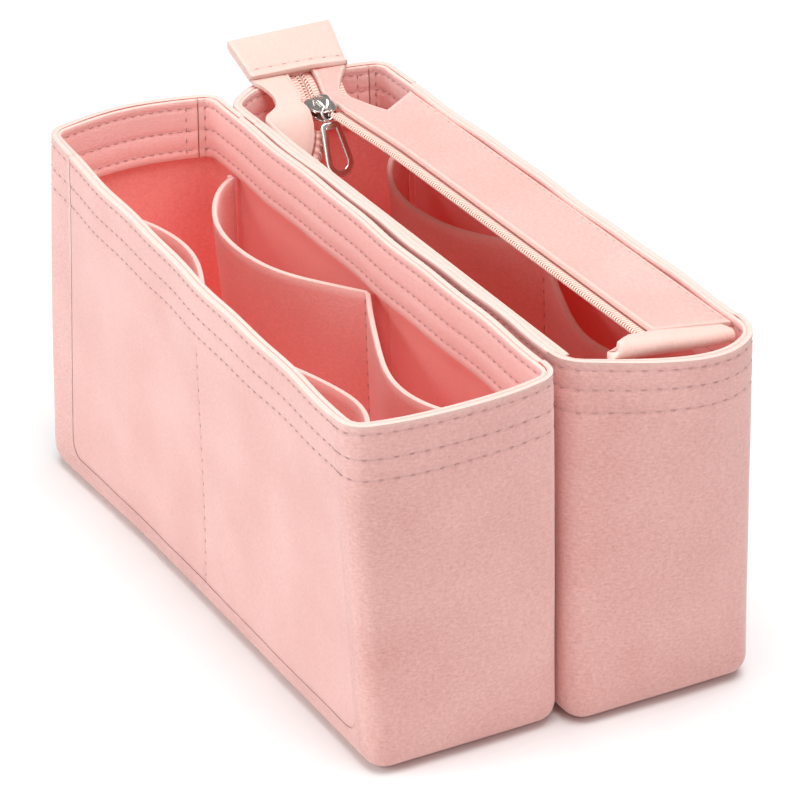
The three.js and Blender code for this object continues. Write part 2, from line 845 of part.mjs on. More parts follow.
// The drop shape of the pull: a narrow eye end, straight sides and a round tip
function dropOutline(path, start, end, eyeHalf, tipHalf) {
  path.moveTo(start, -eyeHalf);
  path.lineTo(end - tipHalf, -tipHalf);
  path.absarc(end - tipHalf, 0, tipHalf, -Math.PI / 2, Math.PI / 2, false);
  path.lineTo(start, eyeHalf);
  path.closePath();
  return path;
}

function makePull(frame) {
  const hinge = new THREE.Group();
  hinge.position.set(pull.pivotX, slider.bridgeAside, plateTop + pull.pivotHeight);
  hinge.rotation.order = "ZYX";
  hinge.rotation.y = THREE.MathUtils.degToRad(pull.restSlope);
  hinge.rotation.z = -THREE.MathUtils.degToRad(pull.restTurn);
  const ring = new THREE.TorusGeometry(pull.ringRadius, pull.ringWire / 2, pull.ringSides, pull.ringSteps);
  ring.scale(pull.ringStretchShare, 1, 1);
  ring.translate(pull.ringRadius * pull.ringStretchShare, 0, 0);
  addMesh(hinge, "pull_ring", mergedExtrude(ring), sliderMetal);
  const ringEnd = pull.ringStretchShare * (pull.ringRadius * 2 + pull.ringWire / 2);
  const start = ringEnd + seatGap;
  const end = start + pull.loopLength;
  const eyeHalf = pull.loopEyeWidth / 2 - pull.loopBevel;
  const tipHalf = pull.loopTipWidth / 2 - pull.loopBevel;
  const bar = pull.loopBar;
  const outline = dropOutline(new THREE.Shape(), start + pull.loopBevel, end, eyeHalf, tipHalf);
  const holeStart = start + bar;
  outline.holes.push(dropOutline(new THREE.Path(), holeStart, end - bar, eyeHalf - bar / 2, tipHalf - bar));
  const depth = pull.loopThickness - 2 * pull.loopBevel;
  const loop = new THREE.ExtrudeGeometry(outline, {
    depth,
    curveSegments: pull.loopSteps,
    bevelThickness: pull.loopBevel,
    bevelSize: pull.loopBevel,
    bevelSegments: 1,
  });
  loop.translate(0, 0, -depth / 2);
  addMesh(hinge, "pull_loop", mergedExtrude(loop), sliderMetal);
  frame.add(hinge);
}

// A folded tab: its section has a thin root to bend at and a round nose, and it is carried across in Y.
function tabGeometry(rootX, noseFrontX, noseBackX, sizes) {
  const { noseBowDepth, thickness, riseHeight, backLowerDepth } = sizes;
  const frontY = -halfWidth + sizes.frontFromWall;
  const backY = halfWidth - sizes.backFromWall;
  const bottomHeight = insertHeight + sizes.bottomOverRim;
  const radius = thickness / 2;
  const direction = Math.sign(noseFrontX - rootX);
  const length = Math.abs(noseFrontX - rootX);
  const outline = new THREE.Shape();
  outline.moveTo(0, -tabRoot.halfThickness);
  outline.lineTo(tabRoot.length, -radius);
  outline.absarc(Math.max(length - radius, tabRoot.length), 0, radius, -Math.PI / 2, Math.PI / 2, false);
  outline.lineTo(tabRoot.length, radius);
  outline.lineTo(0, tabRoot.halfThickness);
  outline.closePath();
  const width = backY - frontY;
  const tab = new THREE.ExtrudeGeometry(outline, {
    depth: width,
    steps: tabSteps,
    curveSegments: tabSteps,
    bevelEnabled: false,
  });
  const position = tab.getAttribute("position");
  for (let index = 0; index < position.count; index += 1) {
    const along = position.getX(index) / length;
    const across = position.getZ(index) / width;
    const bow = noseBowDepth * (1 - Math.pow(2 * across - 1, 2));
    const nose = noseFrontX + across * (noseBackX - noseFrontX) + bow;
    const lift = along * riseHeight - across * backLowerDepth;
    const height = bottomHeight + radius + position.getY(index) + lift;
    const reach = direction * Math.abs(nose - rootX);
    position.setXYZ(index, rootX + along * reach, frontY + across * width, height);
  }
  return mergedExtrude(tab);
}

function makeTabs(group) {
  const farRoot = -halfLength + farStretch.farFromEnd - farTab.stretchGap;
  const farNose = farRoot - farTab.length;
  const farGeometry = tabGeometry(farRoot, farNose, farNose, farTab);
  const nearRoot = rightFlapNearX + nearTab.flapGap;
  const noseFront = halfLength - nearTab.noseFrontFromEnd;
  const nearGeometry = tabGeometry(nearRoot, noseFront, halfLength, nearTab);
  addMesh(group, "far_tab", farGeometry, coverFelt);
  addMesh(group, "near_tab", nearGeometry, coverFelt);
}

const underFlapTop = leftHingeHeight - leftFlapReach - pocket.underFlap;
makeInsert("open", 0, 0, pocketTop, openPockets, openSoft);
const zipInsertY = insertWidth + pairGap;
const zipInsert = makeInsert("zip", zipInsertShift, zipInsertY, underFlapTop, zipPockets, zipSoft);
makeRightFlap(zipInsert);
makeLeftFlap(zipInsert);
makeFarStretch(zipInsert);
makeSlider(zipInsert);
makeTabs(zipInsert);

export default part;
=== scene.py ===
import math

import bmesh
import bpy
import numpy as np
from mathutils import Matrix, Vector


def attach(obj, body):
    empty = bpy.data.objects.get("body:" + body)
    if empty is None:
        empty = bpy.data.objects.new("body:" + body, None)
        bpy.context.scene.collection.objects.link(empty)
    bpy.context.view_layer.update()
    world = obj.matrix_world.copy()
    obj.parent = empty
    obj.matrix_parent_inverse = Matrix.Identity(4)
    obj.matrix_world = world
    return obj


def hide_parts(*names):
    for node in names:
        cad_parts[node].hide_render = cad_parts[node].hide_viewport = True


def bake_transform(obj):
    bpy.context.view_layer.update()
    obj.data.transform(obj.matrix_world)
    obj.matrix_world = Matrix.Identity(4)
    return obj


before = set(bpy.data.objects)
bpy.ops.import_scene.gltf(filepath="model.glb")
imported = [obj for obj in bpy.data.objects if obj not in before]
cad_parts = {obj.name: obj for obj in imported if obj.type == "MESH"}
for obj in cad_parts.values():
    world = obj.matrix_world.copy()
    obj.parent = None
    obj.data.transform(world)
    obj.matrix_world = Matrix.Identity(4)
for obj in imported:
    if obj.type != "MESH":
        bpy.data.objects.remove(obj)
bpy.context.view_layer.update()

print("felt organizer pair: frame loaded")

# The straight insert that every soft wall is worked out from, in millimetres
insert = {"length": 300, "width": 88, "height": 164, "felt": 2.5, "seat": 0.3, "endReach": 4}
halfLength, halfWidth, rimHeight = insert["length"] / 2, insert["width"] / 2, insert["height"]
felt, seat = insert["felt"], insert["seat"]

# How each insert's soft walls stand. front, back, far and near are the moves of the rim, with a splay, a
# tilt, a skew or a bow along it. Then come the moves of the base, the seams' depths below the rim, where
# the wall's middle seam and the pockets' lines are, and how far the far and near pockets stand open.
inserts = {
    "open": {
        "centre": (0.0, 0.0), "front": -5.5, "frontSplay": -6, "frontBow": -2.0, "back": -4.5, "backSplay": 0,
        "far": 1, "farBow": -7.5, "near": 2.2, "nearTilt": 0, "nearBow": 7.8, "nearSkew": 0,
        "baseNear": 3.5, "baseFar": 3.0, "frontFoot": 3.4, "middleFoot": 14.0, "cornerPull": 0.0,
        "seamDepths": (3.7, 15.0, 24.5), "wallSeam": 8, "pocketMiddle": 3, "pocketNearX": 122,
        "frontDepth": (30, 30), "backDepth": (23.2, 21.8), "frontTop": 134,
    },
    "zip": {
        "centre": (4.0, 88.5), "front": -2.3, "frontSplay": 2.5, "frontBow": 0.0, "back": -6.3,
        "backSplay": 2.7,
        "far": 1, "farBow": -6, "near": -4, "nearTilt": 5, "nearBow": 18.5, "nearSkew": 0.5,
        "baseNear": 6.5, "baseFar": 2.0, "frontFoot": 0.0, "middleFoot": 0.0, "cornerPull": 7.0,
        "seamDepths": (3.5, 12.0, 22.0), "wallSeam": -2, "pocketMiddle": -2, "pocketNearX": 117,
        "frontDepth": (24, 24), "backDepth": (23.6, 22.2), "frontTop": 125,
    },
}
zipCentre = np.array([*inserts["zip"]["centre"], 0.0])

# Waves of the felt: size, length along the wall, length up it, and start
ripples = {"wallSlow": (0.45, 19, 60, 0.6), "wallQuick": (0.3, 8.3, -31, 1.4), "end": (0.5, 11, 37, 0.4)}
# Where the waves set in above the base, the far end's hollow, its toe, and where the corner and foot begin
give = {"calmHeight": 40, "farHollow": 1.5, "farToe": 5, "toeHeight": 18, "cornerFrom": -0.55,
        "footFrom": -0.2, "footPower": 1.5}


def ripple(kind, run, z):
    size, length, height, start = ripples[kind]
    return size * np.sin(run / length + z / height + start)


def smoothStep(a, b, x):
    t = np.clip((x - a) / (b - a), 0, 1)
    return t * t * (3 - 2 * t)


# Moves points of the straight insert to where the soft wall stands. The rim leans and bows, the ends and
# the front wall stand out or draw in at the base, and the walls ripple by a few sines of their place.
def relax(points, key):
    soft = inserts[key]
    x, y, z = points[..., 0], points[..., 1], points[..., 2]
    up, along, across = z / rimHeight, x / halfLength, y / halfWidth
    frontShare = (1 - across) / 2
    nearShare = np.maximum(0, (1 + along) / 2) ** insert["endReach"]
    farShare = np.maximum(0, (1 - along) / 2) ** insert["endReach"]
    bow = 1 - across**2
    rimY = frontShare * (soft["front"] + soft["frontSplay"] * along + soft["frontBow"] * (1 - along**2))
    rimY = rimY + (1 - frontShare) * (soft["back"] + soft["backSplay"] * along)
    nearMove = soft["near"] + soft["nearTilt"] * across
    nearMove = nearMove + soft["nearBow"] * bow * (1 + soft["nearSkew"] * across)
    farMove = soft["far"] + soft["farBow"] * bow
    rimX = nearShare * nearMove + farShare * farMove
    corner = smoothStep(give["cornerFrom"], -1.0, across) * farShare
    baseX = (1 - up) * (nearShare * soft["baseNear"] - farShare * soft["baseFar"])
    baseX = baseX - give["farHollow"] * np.sin(math.pi * up) * farShare + soft["cornerPull"] * up**2 * corner
    baseX = baseX + give["farToe"] * np.clip(1 - z / give["toeHeight"], 0, 1) ** 2 * farShare**3
    middle = np.maximum(0, 1 - along**2) ** give["footPower"] * frontShare**2
    baseX = baseX - soft["middleFoot"] * (1 - up) * middle
    farFront = smoothStep(give["footFrom"], -1.0, along) * frontShare * (1 - up) ** give["footPower"]
    rise = np.clip(z / give["calmHeight"], 0, 1)
    waveX = ripple("end", y, z) * (nearShare + farShare)
    waveY = ripple("wallSlow", x, z) + ripple("wallQuick", x, z)
    moved = points.copy()
    moved[..., 0] += up * rimX + baseX + rise * waveX + soft["centre"][0]
    moved[..., 1] += up * rimY - soft["frontFoot"] * farFront + rise * waveY + soft["centre"][1]
    return moved


# A smooth curve through knots (x, y): a cubic between each two, with the slopes of its neighbours
def curveThrough(knots, x):
    kx, ky = np.array(knots, float).T
    slope = np.gradient(ky, kx)
    x = np.clip(x, kx[0], kx[-1])
    k = np.clip(np.searchsorted(kx, x) - 1, 0, len(kx) - 2)
    width = kx[k + 1] - kx[k]
    t = (x - kx[k]) / width
    return (
        (2 * t**3 - 3 * t**2 + 1) * ky[k] + (t**3 - 2 * t**2 + t) * width * slope[k]
        + (3 * t**2 - 2 * t**3) * ky[k + 1] + (t**3 - t**2) * width * slope[k + 1]
    )


# Even steps from low to high, with extra ones at each seam and on both sides of it
def stepsWith(low, high, step, seams=(), beside=1.2, clearance=0.8):
    even = np.linspace(low, high, max(2, int(round((high - low) / step)) + 1))
    extra = [s + d for s in seams for d in (-beside, 0, beside) if low < s + d < high]
    if extra:
        far = np.min(np.abs(even[:, None] - np.array(extra)[None, :]), axis=1) > clearance
        far[[0, -1]] = True
        even = np.concatenate([even[far], extra])
    return np.unique(np.round(even, 4))


def putMesh(name, points, faces, uv=None, marks=None):
    mesh = bpy.data.meshes.new(name)
    mesh.vertices.add(len(points))
    mesh.vertices.foreach_set("co", (np.asarray(points, float) / 1000).ravel())
    corners = np.concatenate([f.ravel() for f in faces])
    sizes = np.concatenate([np.full(len(f), f.shape[1]) for f in faces])
    mesh.loops.add(len(corners))
    mesh.loops.foreach_set("vertex_index", corners.astype(np.int32))
    mesh.polygons.add(len(sizes))
    mesh.polygons.foreach_set("loop_start", (np.cumsum(sizes) - sizes).astype(np.int32))
    mesh.polygons.foreach_set("loop_total", sizes.astype(np.int32))
    mesh.polygons.foreach_set("use_smooth", np.ones(len(sizes), bool))
    if uv is not None:
        layer = mesh.uv_layers.new(name="Lay")
        layer.data.foreach_set("uv", uv[corners].astype(np.float32).ravel())
    for key, values in (marks or {}).items():
        mesh.attributes.new(key, "FLOAT", "POINT").data.foreach_set("value", values.astype(np.float32))
    mesh.update(calc_edges=True)
    mesh.validate()
    piece = bpy.data.objects.new(name, mesh)
    bpy.context.scene.collection.objects.link(piece)
    return piece


# A point of a grid's face between its lines, by straight steps both ways
def onGrid(us, vs, values, u, v):
    i = np.clip(np.searchsorted(us, u, side="right") - 1, 0, len(us) - 2)
    j = np.clip(np.searchsorted(vs, v, side="right") - 1, 0, len(vs) - 2)
    a = ((u - us[i]) / (us[i + 1] - us[i]))[:, None]
    b = ((v - vs[j]) / (vs[j + 1] - vs[j]))[:, None]
    low = values[i, j] * (1 - a) + values[i + 1, j] * a
    high = values[i, j + 1] * (1 - a) + values[i + 1, j + 1] * a
    return low * (1 - b) + high * b


def unit(a):
    return a / np.maximum(np.linalg.norm(a, axis=-1, keepdims=True), 1e-9)


def stacked(*parts):
    return np.stack(parts, axis=-1)


def grid(us, vs):
    return np.meshgrid(us, vs, indexing="ij")


# The cut edge's arcs in degrees and how round they are, how much of the painted highlight the border takes
# and between which heights it sets in, the distance that stands for no seam, and how the lay (UV) is
# scaled and set apart
sheetRim = {"arcs": (55, 28, 0, -28, -55), "fullArc": 72, "roundness": 0.9, "border": 0.75,
            "paleFrom": 105, "paleFull": 118, "noSeam": 9.0, "layScale": 100, "liningShift": 3.7,
            "arcShift": 0.004}
cloths = {}


# A felt or woven sheet. Its outer face is a grid of points; the inner face lies one thickness behind,
# and the cut edge between them is a row of arcs: middle + t/2 sin(a) normal + bulge cos(a) outward.
# Along each seam the faces draw together by a narrow bell curve of the distance to the seam.
def sheetPiece(name, us, vs, top, thickness, out, seams=(), keep=None, loop=None, bulge=0.3, dimple=0.4,
               bothInside=0, turned=False):
    n, m = len(us), len(vs)
    gridU, gridV = grid(us, vs)
    normal = out * unit(np.cross(np.gradient(top, axis=0), np.gradient(top, axis=1)))
    distance = np.full((n, m), sheetRim["noSeam"])
    for kind, at, low, high in seams:
        a, b = (gridU, gridV) if kind == "u" else (gridV, gridU)
        within = (b >= low - 0.01) & (b <= high + 0.01)
        distance = np.where(within, np.minimum(distance, np.abs(a - at)), distance)
    pinch = dimple * np.exp(-(distance**2))[..., None]
    face = top - normal * pinch
    lining = top - normal * (np.asarray(thickness)[..., None] - pinch)
    if loop is None:
        index = np.arange(n * m).reshape(n, m)
        loop = np.concatenate([index[:-1, 0], index[-1, :-1], index[:0:-1, -1], index[0, :0:-1]])
    facePoints, liningPoints = face.reshape(-1, 3), lining.reshape(-1, 3)
    rim, liningRim, rimNormal = facePoints[loop], liningPoints[loop], normal.reshape(-1, 3)[loop]
    tangent = unit(np.roll(rim, -1, axis=0) - np.roll(rim, 1, axis=0))
    # the loop's signed area about its normals says on which side of its tangent the outside lies
    centre = rim.mean(axis=0)
    sign = np.sign(np.sum(np.cross(rim - centre, np.roll(rim, -1, axis=0) - centre) * rimNormal))
    outward = unit(np.cross(tangent, rimNormal)) * sign
    middle = (rim + liningRim) / 2
    deep = np.linalg.norm(rim - liningRim, axis=1, keepdims=True) / 2
    facePoints[loop] = rim - outward * bulge
    liningPoints[loop] = liningRim - outward * bulge
    rows = []
    for angle in np.radians(sheetRim["arcs"]):
        lift = deep * math.sin(angle) / math.sin(math.radians(sheetRim["fullArc"]))
        rows.append(middle + lift * rimNormal
                    + outward * bulge * (math.cos(angle) - 1) * sheetRim["roundness"])
    i, j = np.nonzero(np.ones((n - 1, m - 1), bool) if keep is None else keep)
    a, b, c, d = i * m + j, (i + 1) * m + j, (i + 1) * m + j + 1, i * m + j + 1
    quads = np.stack([a, b, c, d] if out > 0 else [a, d, c, b], axis=1)
    count, size = n * m, len(loop)
    rings = [loop] + [2 * count + r * size + np.arange(size) for r in range(len(rows))] + [loop + count]
    strips = []
    for first, second in zip(rings[:-1], rings[1:]):
        quad = np.stack([first, np.roll(first, -1), np.roll(second, -1), second], axis=1)
        strips.append(quad if sign < 0 else quad[:, ::-1])
    faces = np.concatenate([quads, quads[:, ::-1] + count] + strips)
    points = np.concatenate([facePoints, liningPoints] + rows)
    lay = (gridV, gridU) if turned else (gridU, gridV)
    flat = stacked(*(part.ravel() for part in lay)) / sheetRim["layScale"]
    arcUv = [flat[loop] + sheetRim["arcShift"] * (r + 1) for r in range(len(rows))]
    uv = np.concatenate([flat, flat + sheetRim["liningShift"]] + arcUv)
    # edge marks where the painted rim highlight goes: the cut edge's rows, the border at a share, and only high
    # on the walls
    edge, inside = np.zeros(len(points)), np.zeros(len(points))
    edge[2 * count:] = 1
    edge[loop] = edge[loop + count] = sheetRim["border"]
    edge *= smoothStep(sheetRim["paleFrom"], sheetRim["paleFull"], points[:, 2])
    # the lining, and with bothInside the face too, takes the painted inside shade and glow
    inside[count:2 * count] = 1
    inside[:count] = bothInside
    seam = np.concatenate([distance.ravel(), distance.ravel(), np.full(size * len(rows), sheetRim["noSeam"])])
    used = np.zeros(len(points), bool)
    used[faces.ravel()] = True
    place = np.cumsum(used) - 1
    marks = {"edge": edge[used], "seam": seam[used], "inside": inside[used]}
    cloths[name] = {"us": us, "vs": vs, "face": face, "lining": lining, "normal": normal}
    return putMesh(name, points[used], [place[faces]], uv[used], marks)


# A stitch's size, how high it rises out of the felt and how deep it sits, the step over which the
# seam's direction is read, and the places and widths of its rings
stitch = {"length": 2.5, "radius": 0.3, "fineRadius": 0.22, "rise": 0.42, "sink": 0.18, "reach": 0.3,
          "sides": 6, "rings": (-1, -0.8, -0.3, 0.3, 0.8, 1), "widths": (0.35, 0.8, 1, 1, 0.8, 0.35)}


# Where the stitches of a seam go: every pitch along the line, on the sheet's face or its lining
def stitchPlaces(name, kind, at, low, high, side=1, pitch=5.8):
    cloth = cloths[name]
    count = max(1, int((high - low) / pitch))
    run = low + (np.arange(count) + 0.5) * (high - low) / count
    fixed = np.full(count, float(at))
    surface = cloth["face"] if side > 0 else cloth["lining"]

    def spot(values, place):
        return onGrid(cloth["us"], cloth["vs"], values, *((fixed, place) if kind == "u" else (place, fixed)))

    along = unit(spot(surface, run + stitch["reach"]) - spot(surface, run - stitch["reach"]))
    return spot(surface, run), along, side * unit(spot(cloth["normal"], run))


# Many stitches in one mesh. Each is a thread that rises out of the felt and dips back: rings of points
# along it, whose height follows a half cosine and whose radius narrows to the ends.
def stitchPiece(name, places, radius):
    place, along, normal = (np.concatenate([p[k] for p in places]) for k in range(3))
    normal = unit(normal - along * np.sum(normal * along, axis=1, keepdims=True))
    beside = np.cross(normal, along)
    share, thin, sides = np.array(stitch["rings"]), np.array(stitch["widths"]), stitch["sides"]
    count = len(share)
    rise = stitch["rise"] * np.cos(share * math.pi / 2) - stitch["sink"]
    angle = np.arange(sides) * 2 * math.pi / sides
    t = np.repeat(share * stitch["length"] / 2, sides)
    b = (thin[:, None] * radius * np.cos(angle)[None, :]).ravel()
    h = (rise[:, None] + thin[:, None] * radius * np.sin(angle)[None, :]).ravel()
    points = (place[:, None] + along[:, None] * t[None, :, None]
              + beside[:, None] * b[None, :, None] + normal[:, None] * h[None, :, None])
    start, step = np.arange(count - 1)[:, None] * sides, np.arange(sides)[None, :]
    here, after = start + step, start + (step + 1) % sides
    quads = stacked(here, here + sides, after + sides, after).reshape(-1, 4)
    caps = np.array([np.arange(sides), (count - 1) * sides + np.arange(sides)[::-1]])
    starts = np.arange(len(place))[:, None, None] * count * sides
    return putMesh(name, points.reshape(-1, 3), [(quads[None] + starts).reshape(-1, 4),
                                                 (caps[None] + starts).reshape(-1, sides)])


barEnd = {"reach": (0.45, 0.9), "width": (0.75, 0.4)}


# A round or flattened bar: an ellipse of half sizes a (beside) and b (above) carried along a path.
# Closed paths join up; open ones end in a rounded cap of two small rings.
def barPiece(name, path, above, a, b, sides=12, closed=False, flatness=2.0):
    path = np.asarray(path, float)
    if closed:
        along = unit(np.roll(path, -1, axis=0) - np.roll(path, 1, axis=0))
    else:
        along = unit(np.gradient(path, axis=0))
    beside = unit(np.cross(along, np.tile(np.asarray(above, float), (len(path), 1))))
    upward = np.cross(beside, along)
    angle = np.arange(sides) * 2 * math.pi / sides
    c, s = np.cos(angle), np.sin(angle)
    c = np.sign(c) * np.abs(c) ** (2 / flatness)
    s = np.sign(s) * np.abs(s) ** (2 / flatness)
    wide, tall = np.full(len(path), float(a)), np.full(len(path), float(b))
    if not closed:
        reach, shrink = np.array(barEnd["reach"])[:, None], np.array(barEnd["width"])
        first, last = path[0] - along[0] * min(a, b) * reach, path[-1] + along[-1] * min(a, b) * reach
        path = np.concatenate([first[::-1], path, last])
        beside, upward = (np.pad(side, ((2, 2), (0, 0)), mode="edge") for side in (beside, upward))
        wide = np.concatenate([a * shrink[::-1], wide, a * shrink])
        tall = np.concatenate([b * shrink[::-1], tall, b * shrink])
    points = (path[:, None] + beside[:, None] * (wide[:, None] * c[None])[..., None]
              + upward[:, None] * (tall[:, None] * s[None])[..., None])
    n = len(path)
    i, j = np.arange(n if closed else n - 1)[:, None], np.arange(sides)[None, :]
    nextI, nextJ = (i + 1) % n, (j + 1) % sides
    quads = stacked(i * sides + j, nextI * sides + j, nextI * sides + nextJ, i * sides + nextJ)
    faces = [quads.reshape(-1, 4)]
    if not closed:
        faces.append(np.array([np.arange(sides), (n - 1) * sides + np.arange(sides)[::-1]]))
    return turnedOut(putMesh(name, points.reshape(-1, 3), faces))


# Turns a closed piece's faces round where its volume comes out negative
def turnedOut(piece):
    shape = bmesh.new()
    shape.from_mesh(piece.data)
    if shape.calc_volume(signed=True) < 0:
        bmesh.ops.reverse_faces(shape, faces=shape.faces)
        shape.to_mesh(piece.data)
    shape.free()
    return piece


def joined(name, pieces):
    first = pieces[0]
    with bpy.context.temp_override(active_object=first, selected_editable_objects=pieces):
        bpy.ops.object.join()
    first.name = name
    first.data.name = name
    return first


# Gives a piece its finish and slot, the CAD nodes that it stands for, and the body that it rides on
def settle(piece, finish, nodes=(), body=None):
    if finish:
        piece.data.materials.append(finish)
    if nodes:
        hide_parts(*nodes)
    if body:
        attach(piece, body)
    return piece


def putStitches(name, places, finish, body, radius):
    settle(stitchPiece(name, places, radius), finish, body=body)


# One socket of a material. Sums on it add Math nodes, and node() adds any other node.
class Wire:
    def __init__(self, tree, socket=None):
        self.tree, self.socket = tree, socket

    def node(self, kind, settings=None, sockets=None, out=0):
        made = self.tree.nodes.new(kind)
        for key, value in (settings or {}).items():
            setattr(made, key, value)
        for key, value in (sockets or {}).items():
            if isinstance(value, Wire):
                self.tree.links.new(value.socket, made.inputs[key])
            else:
                made.inputs[key].default_value = value
        return Wire(self.tree, made.outputs[out])

    def sum(self, operation, a, b=0.0):
        return self.node("ShaderNodeMath", {"operation": operation}, {0: a, 1: b})

    def __add__(self, other):
        return self.sum("ADD", self, other)

    def __mul__(self, other):
        return self.sum("MULTIPLY", self, other)

    def __sub__(self, other):
        return self.sum("SUBTRACT", self, other)

    def __rsub__(self, other):
        return self.sum("SUBTRACT", other, self)

    __radd__, __rmul__ = __add__, __mul__

    def clamped(self):
        return self.node("ShaderNodeClamp", {}, {"Value": self})

    def bell(self):
        return self.sum("EXPONENT", self * self * -1.0)

    def mix(self, a, b):
        first, second = (v if isinstance(v, Wire) else (*v, 1.0) for v in (a, b))
        return self.node("ShaderNodeMix", {"data_type": "RGBA"}, {0: self, 6: first, 7: second}, out=2)

    def noise(self, scale, detail=2.0, roughness=0.5, stretch=(1, 1, 1)):
        place = self.node("ShaderNodeMapping", {}, {"Vector": self, "Scale": stretch})
        return self.node("ShaderNodeTexNoise", {},
                         {"Vector": place, "Scale": scale, "Detail": detail, "Roughness": roughness})

    def bump(self, strength, distance, height):
        return self.node("ShaderNodeBump", {}, {"Strength": strength, "Distance": distance, "Height": height})

    def objectPlace(self):
        return self.node("ShaderNodeTexCoord", out=3)

    def lay(self):
        return self.node("ShaderNodeUVMap", {"uv_map": "Lay"})

    def mark(self, name):
        return self.node("ShaderNodeAttribute", {"attribute_name": name}, out=2)


def newFinish(name, **fixed):
    material = bpy.data.materials.new(name)
    material.use_nodes = True
    skin = material.node_tree.nodes["Principled BSDF"]
    for key, value in fixed.items():
        skin.inputs[key.replace("_", " ")].default_value = value
    return material, skin, Wire(material.node_tree)


def feed(skin, key, wire):
    skin.id_data.links.new(wire.socket, skin.inputs[key])


# A plain finish whose colour changes a little with a noise
def speckled(name, look, **fixed):
    material, skin, start = newFinish(name, **fixed)
    feed(skin, "Base Color", start.objectPlace().noise(look["speckle"]).mix(look["deep"], look["pale"]))
    return material


# Scales of the felt's fibres and hairs along and across the lay, of its grain and its clouds, and how
# much each of them and the seam's line stand out
feltGrain = {"fibres": (38, 105, 1), "hairs": (130, 360, 1), "grain": 780, "cloud": 22, "distance": 0.0004,
             "fibreHeight": 0.5, "hairHeight": 0.35, "grainHeight": 0.3, "lineHeight": -0.8}


# Pressed felt: short fibres that lie mostly along the sheet, a fine grain, soft cloudy patches, a painted
# highlight where it is cut at the rims, painted shade and bounce light inside (redder, with a faint red
# glow), and a painted shade line where a seam draws it in
def feltFinish(name, look):
    material, skin, start = newFinish(name, Roughness=0.95, Sheen_Weight=look["sheen"], Sheen_Roughness=0.5,
                                      Specular_IOR_Level=0.15, Emission_Strength=look["paintedBounceGlowPower"])
    lay, place = start.lay(), start.objectPlace()
    fibre = lay.noise(1.0, 3.0, 0.6, feltGrain["fibres"])
    hair = lay.noise(1.0, 2.0, 0.55, feltGrain["hairs"])
    grain = place.noise(feltGrain["grain"], 3.0, 0.65)
    cloud = place.noise(feltGrain["cloud"])
    edge, inside, seam = start.mark("edge"), start.mark("inside"), start.mark("seam")
    # painted shade in each seam's crease, by a bell of the distance to the seam
    line = look["shadeLineDark"] * (look["shadeLineNarrow"] * seam).bell()
    tone = 0.5 + look["fibre"] * (fibre - 0.5) + look["grain"] * (grain - 0.5) + look["cloud"] * (cloud - 0.5)
    tone = tone.clamped()
    # painted shade and bounce light: the deeper, redder colours of the inside faces
    within = tone.mix(look["insideShadeDeep"], look["insideShadePale"])
    colour = inside.mix(tone.mix(look["deep"], look["pale"]), within)
    # painted highlight: the pale cut colour on the edges of the rims
    colour = (look["edgeShare"] * edge).mix(colour, look["cut"])
    feed(skin, "Base Color", line.mix(colour, look["line"]))
    # painted bounce light: the inside faces glow a faint red, though they are no lamp
    feed(skin, "Emission Color", inside.mix((0, 0, 0), look["paintedBounceGlow"]))
    height = feltGrain["fibreHeight"] * fibre + feltGrain["hairHeight"] * hair
    height = height + feltGrain["grainHeight"] * grain + feltGrain["lineHeight"] * line
    feed(skin, "Normal", start.bump(look["bump"], feltGrain["distance"], height))
    return material


# The inside colours and the glow are painted shade and painted bounce light in the hollows, the cut colour is a
# painted highlight on the rims, and the line colour is painted shade along the seams
feltLook = {
    "deep": (0.70, 0.335, 0.30), "pale": (0.88, 0.52, 0.48), "cut": (0.86, 0.61, 0.545),
    "line": (0.55, 0.30, 0.28), "insideShadeDeep": (0.87, 0.295, 0.265), "insideShadePale": (0.96, 0.43, 0.39),
    "paintedBounceGlow": (0.9, 0.09, 0.07), "paintedBounceGlowPower": 0.055, "fibre": 1.4, "grain": 1.35, "cloud": 0.9,
    "edgeShare": 0.75, "shadeLineNarrow": 1.4, "shadeLineDark": 0.2, "bump": 0.8, "sheen": 0.4,
}
# What each felt has otherwise: the covers and tabs are paler, the tabs' felt as painted light, and the
# pockets and bands have a lighter painted shade inside
feltLooks = {
    "wallFelt": {},
    "coverFelt": {"deep": (0.74, 0.35, 0.31), "pale": (0.86, 0.49, 0.44), "grain": 1.3, "fibre": 1.2},
    "paleLitTabFelt": {"deep": (0.78, 0.50, 0.435), "pale": (0.86, 0.585, 0.52), "grain": 1.0, "fibre": 0.9},
    "liningFelt": {"insideShadeDeep": (0.79, 0.375, 0.34), "insideShadePale": (0.91, 0.52, 0.48)},
    "panelFelt": {"fibre": 0.8, "grain": 0.7, "bump": 0.45},
    "bandFelt": {"insideShadeDeep": (0.92, 0.55, 0.51), "insideShadePale": (0.99, 0.70, 0.66)},
}
felts = {name: feltFinish(name, {**feltLook, **look}) for name, look in feltLooks.items()}

# Thread: a dusty rose twist for the seams, and a paler one for the lines that barely show. Coil: smooth
# cream-pink nylon round a core that shows between its turns, dark as painted shade between them.
threadLook = {"speckle": 700, "deep": (0.40, 0.21, 0.215), "pale": (0.70, 0.40, 0.385)}
paleLook = {"speckle": 700, "deep": (0.56, 0.33, 0.31), "pale": (0.76, 0.50, 0.47)}
coilLook = {"speckle": 700, "deep": (0.93, 0.66, 0.56), "pale": (0.99, 0.80, 0.69)}
coreShadeLook = {"speckle": 500, "deep": (0.42, 0.15, 0.13), "pale": (0.5, 0.2, 0.17)}
threadFinish = speckled("stitchThread", threadLook, Roughness=0.8)
paleThread = speckled("paleThread", paleLook, Roughness=0.8)
coilFinish = speckled("coilNylon", coilLook, Roughness=0.42)
coreShadeFinish = speckled("coilCoreShade", coreShadeLook, Roughness=0.7)
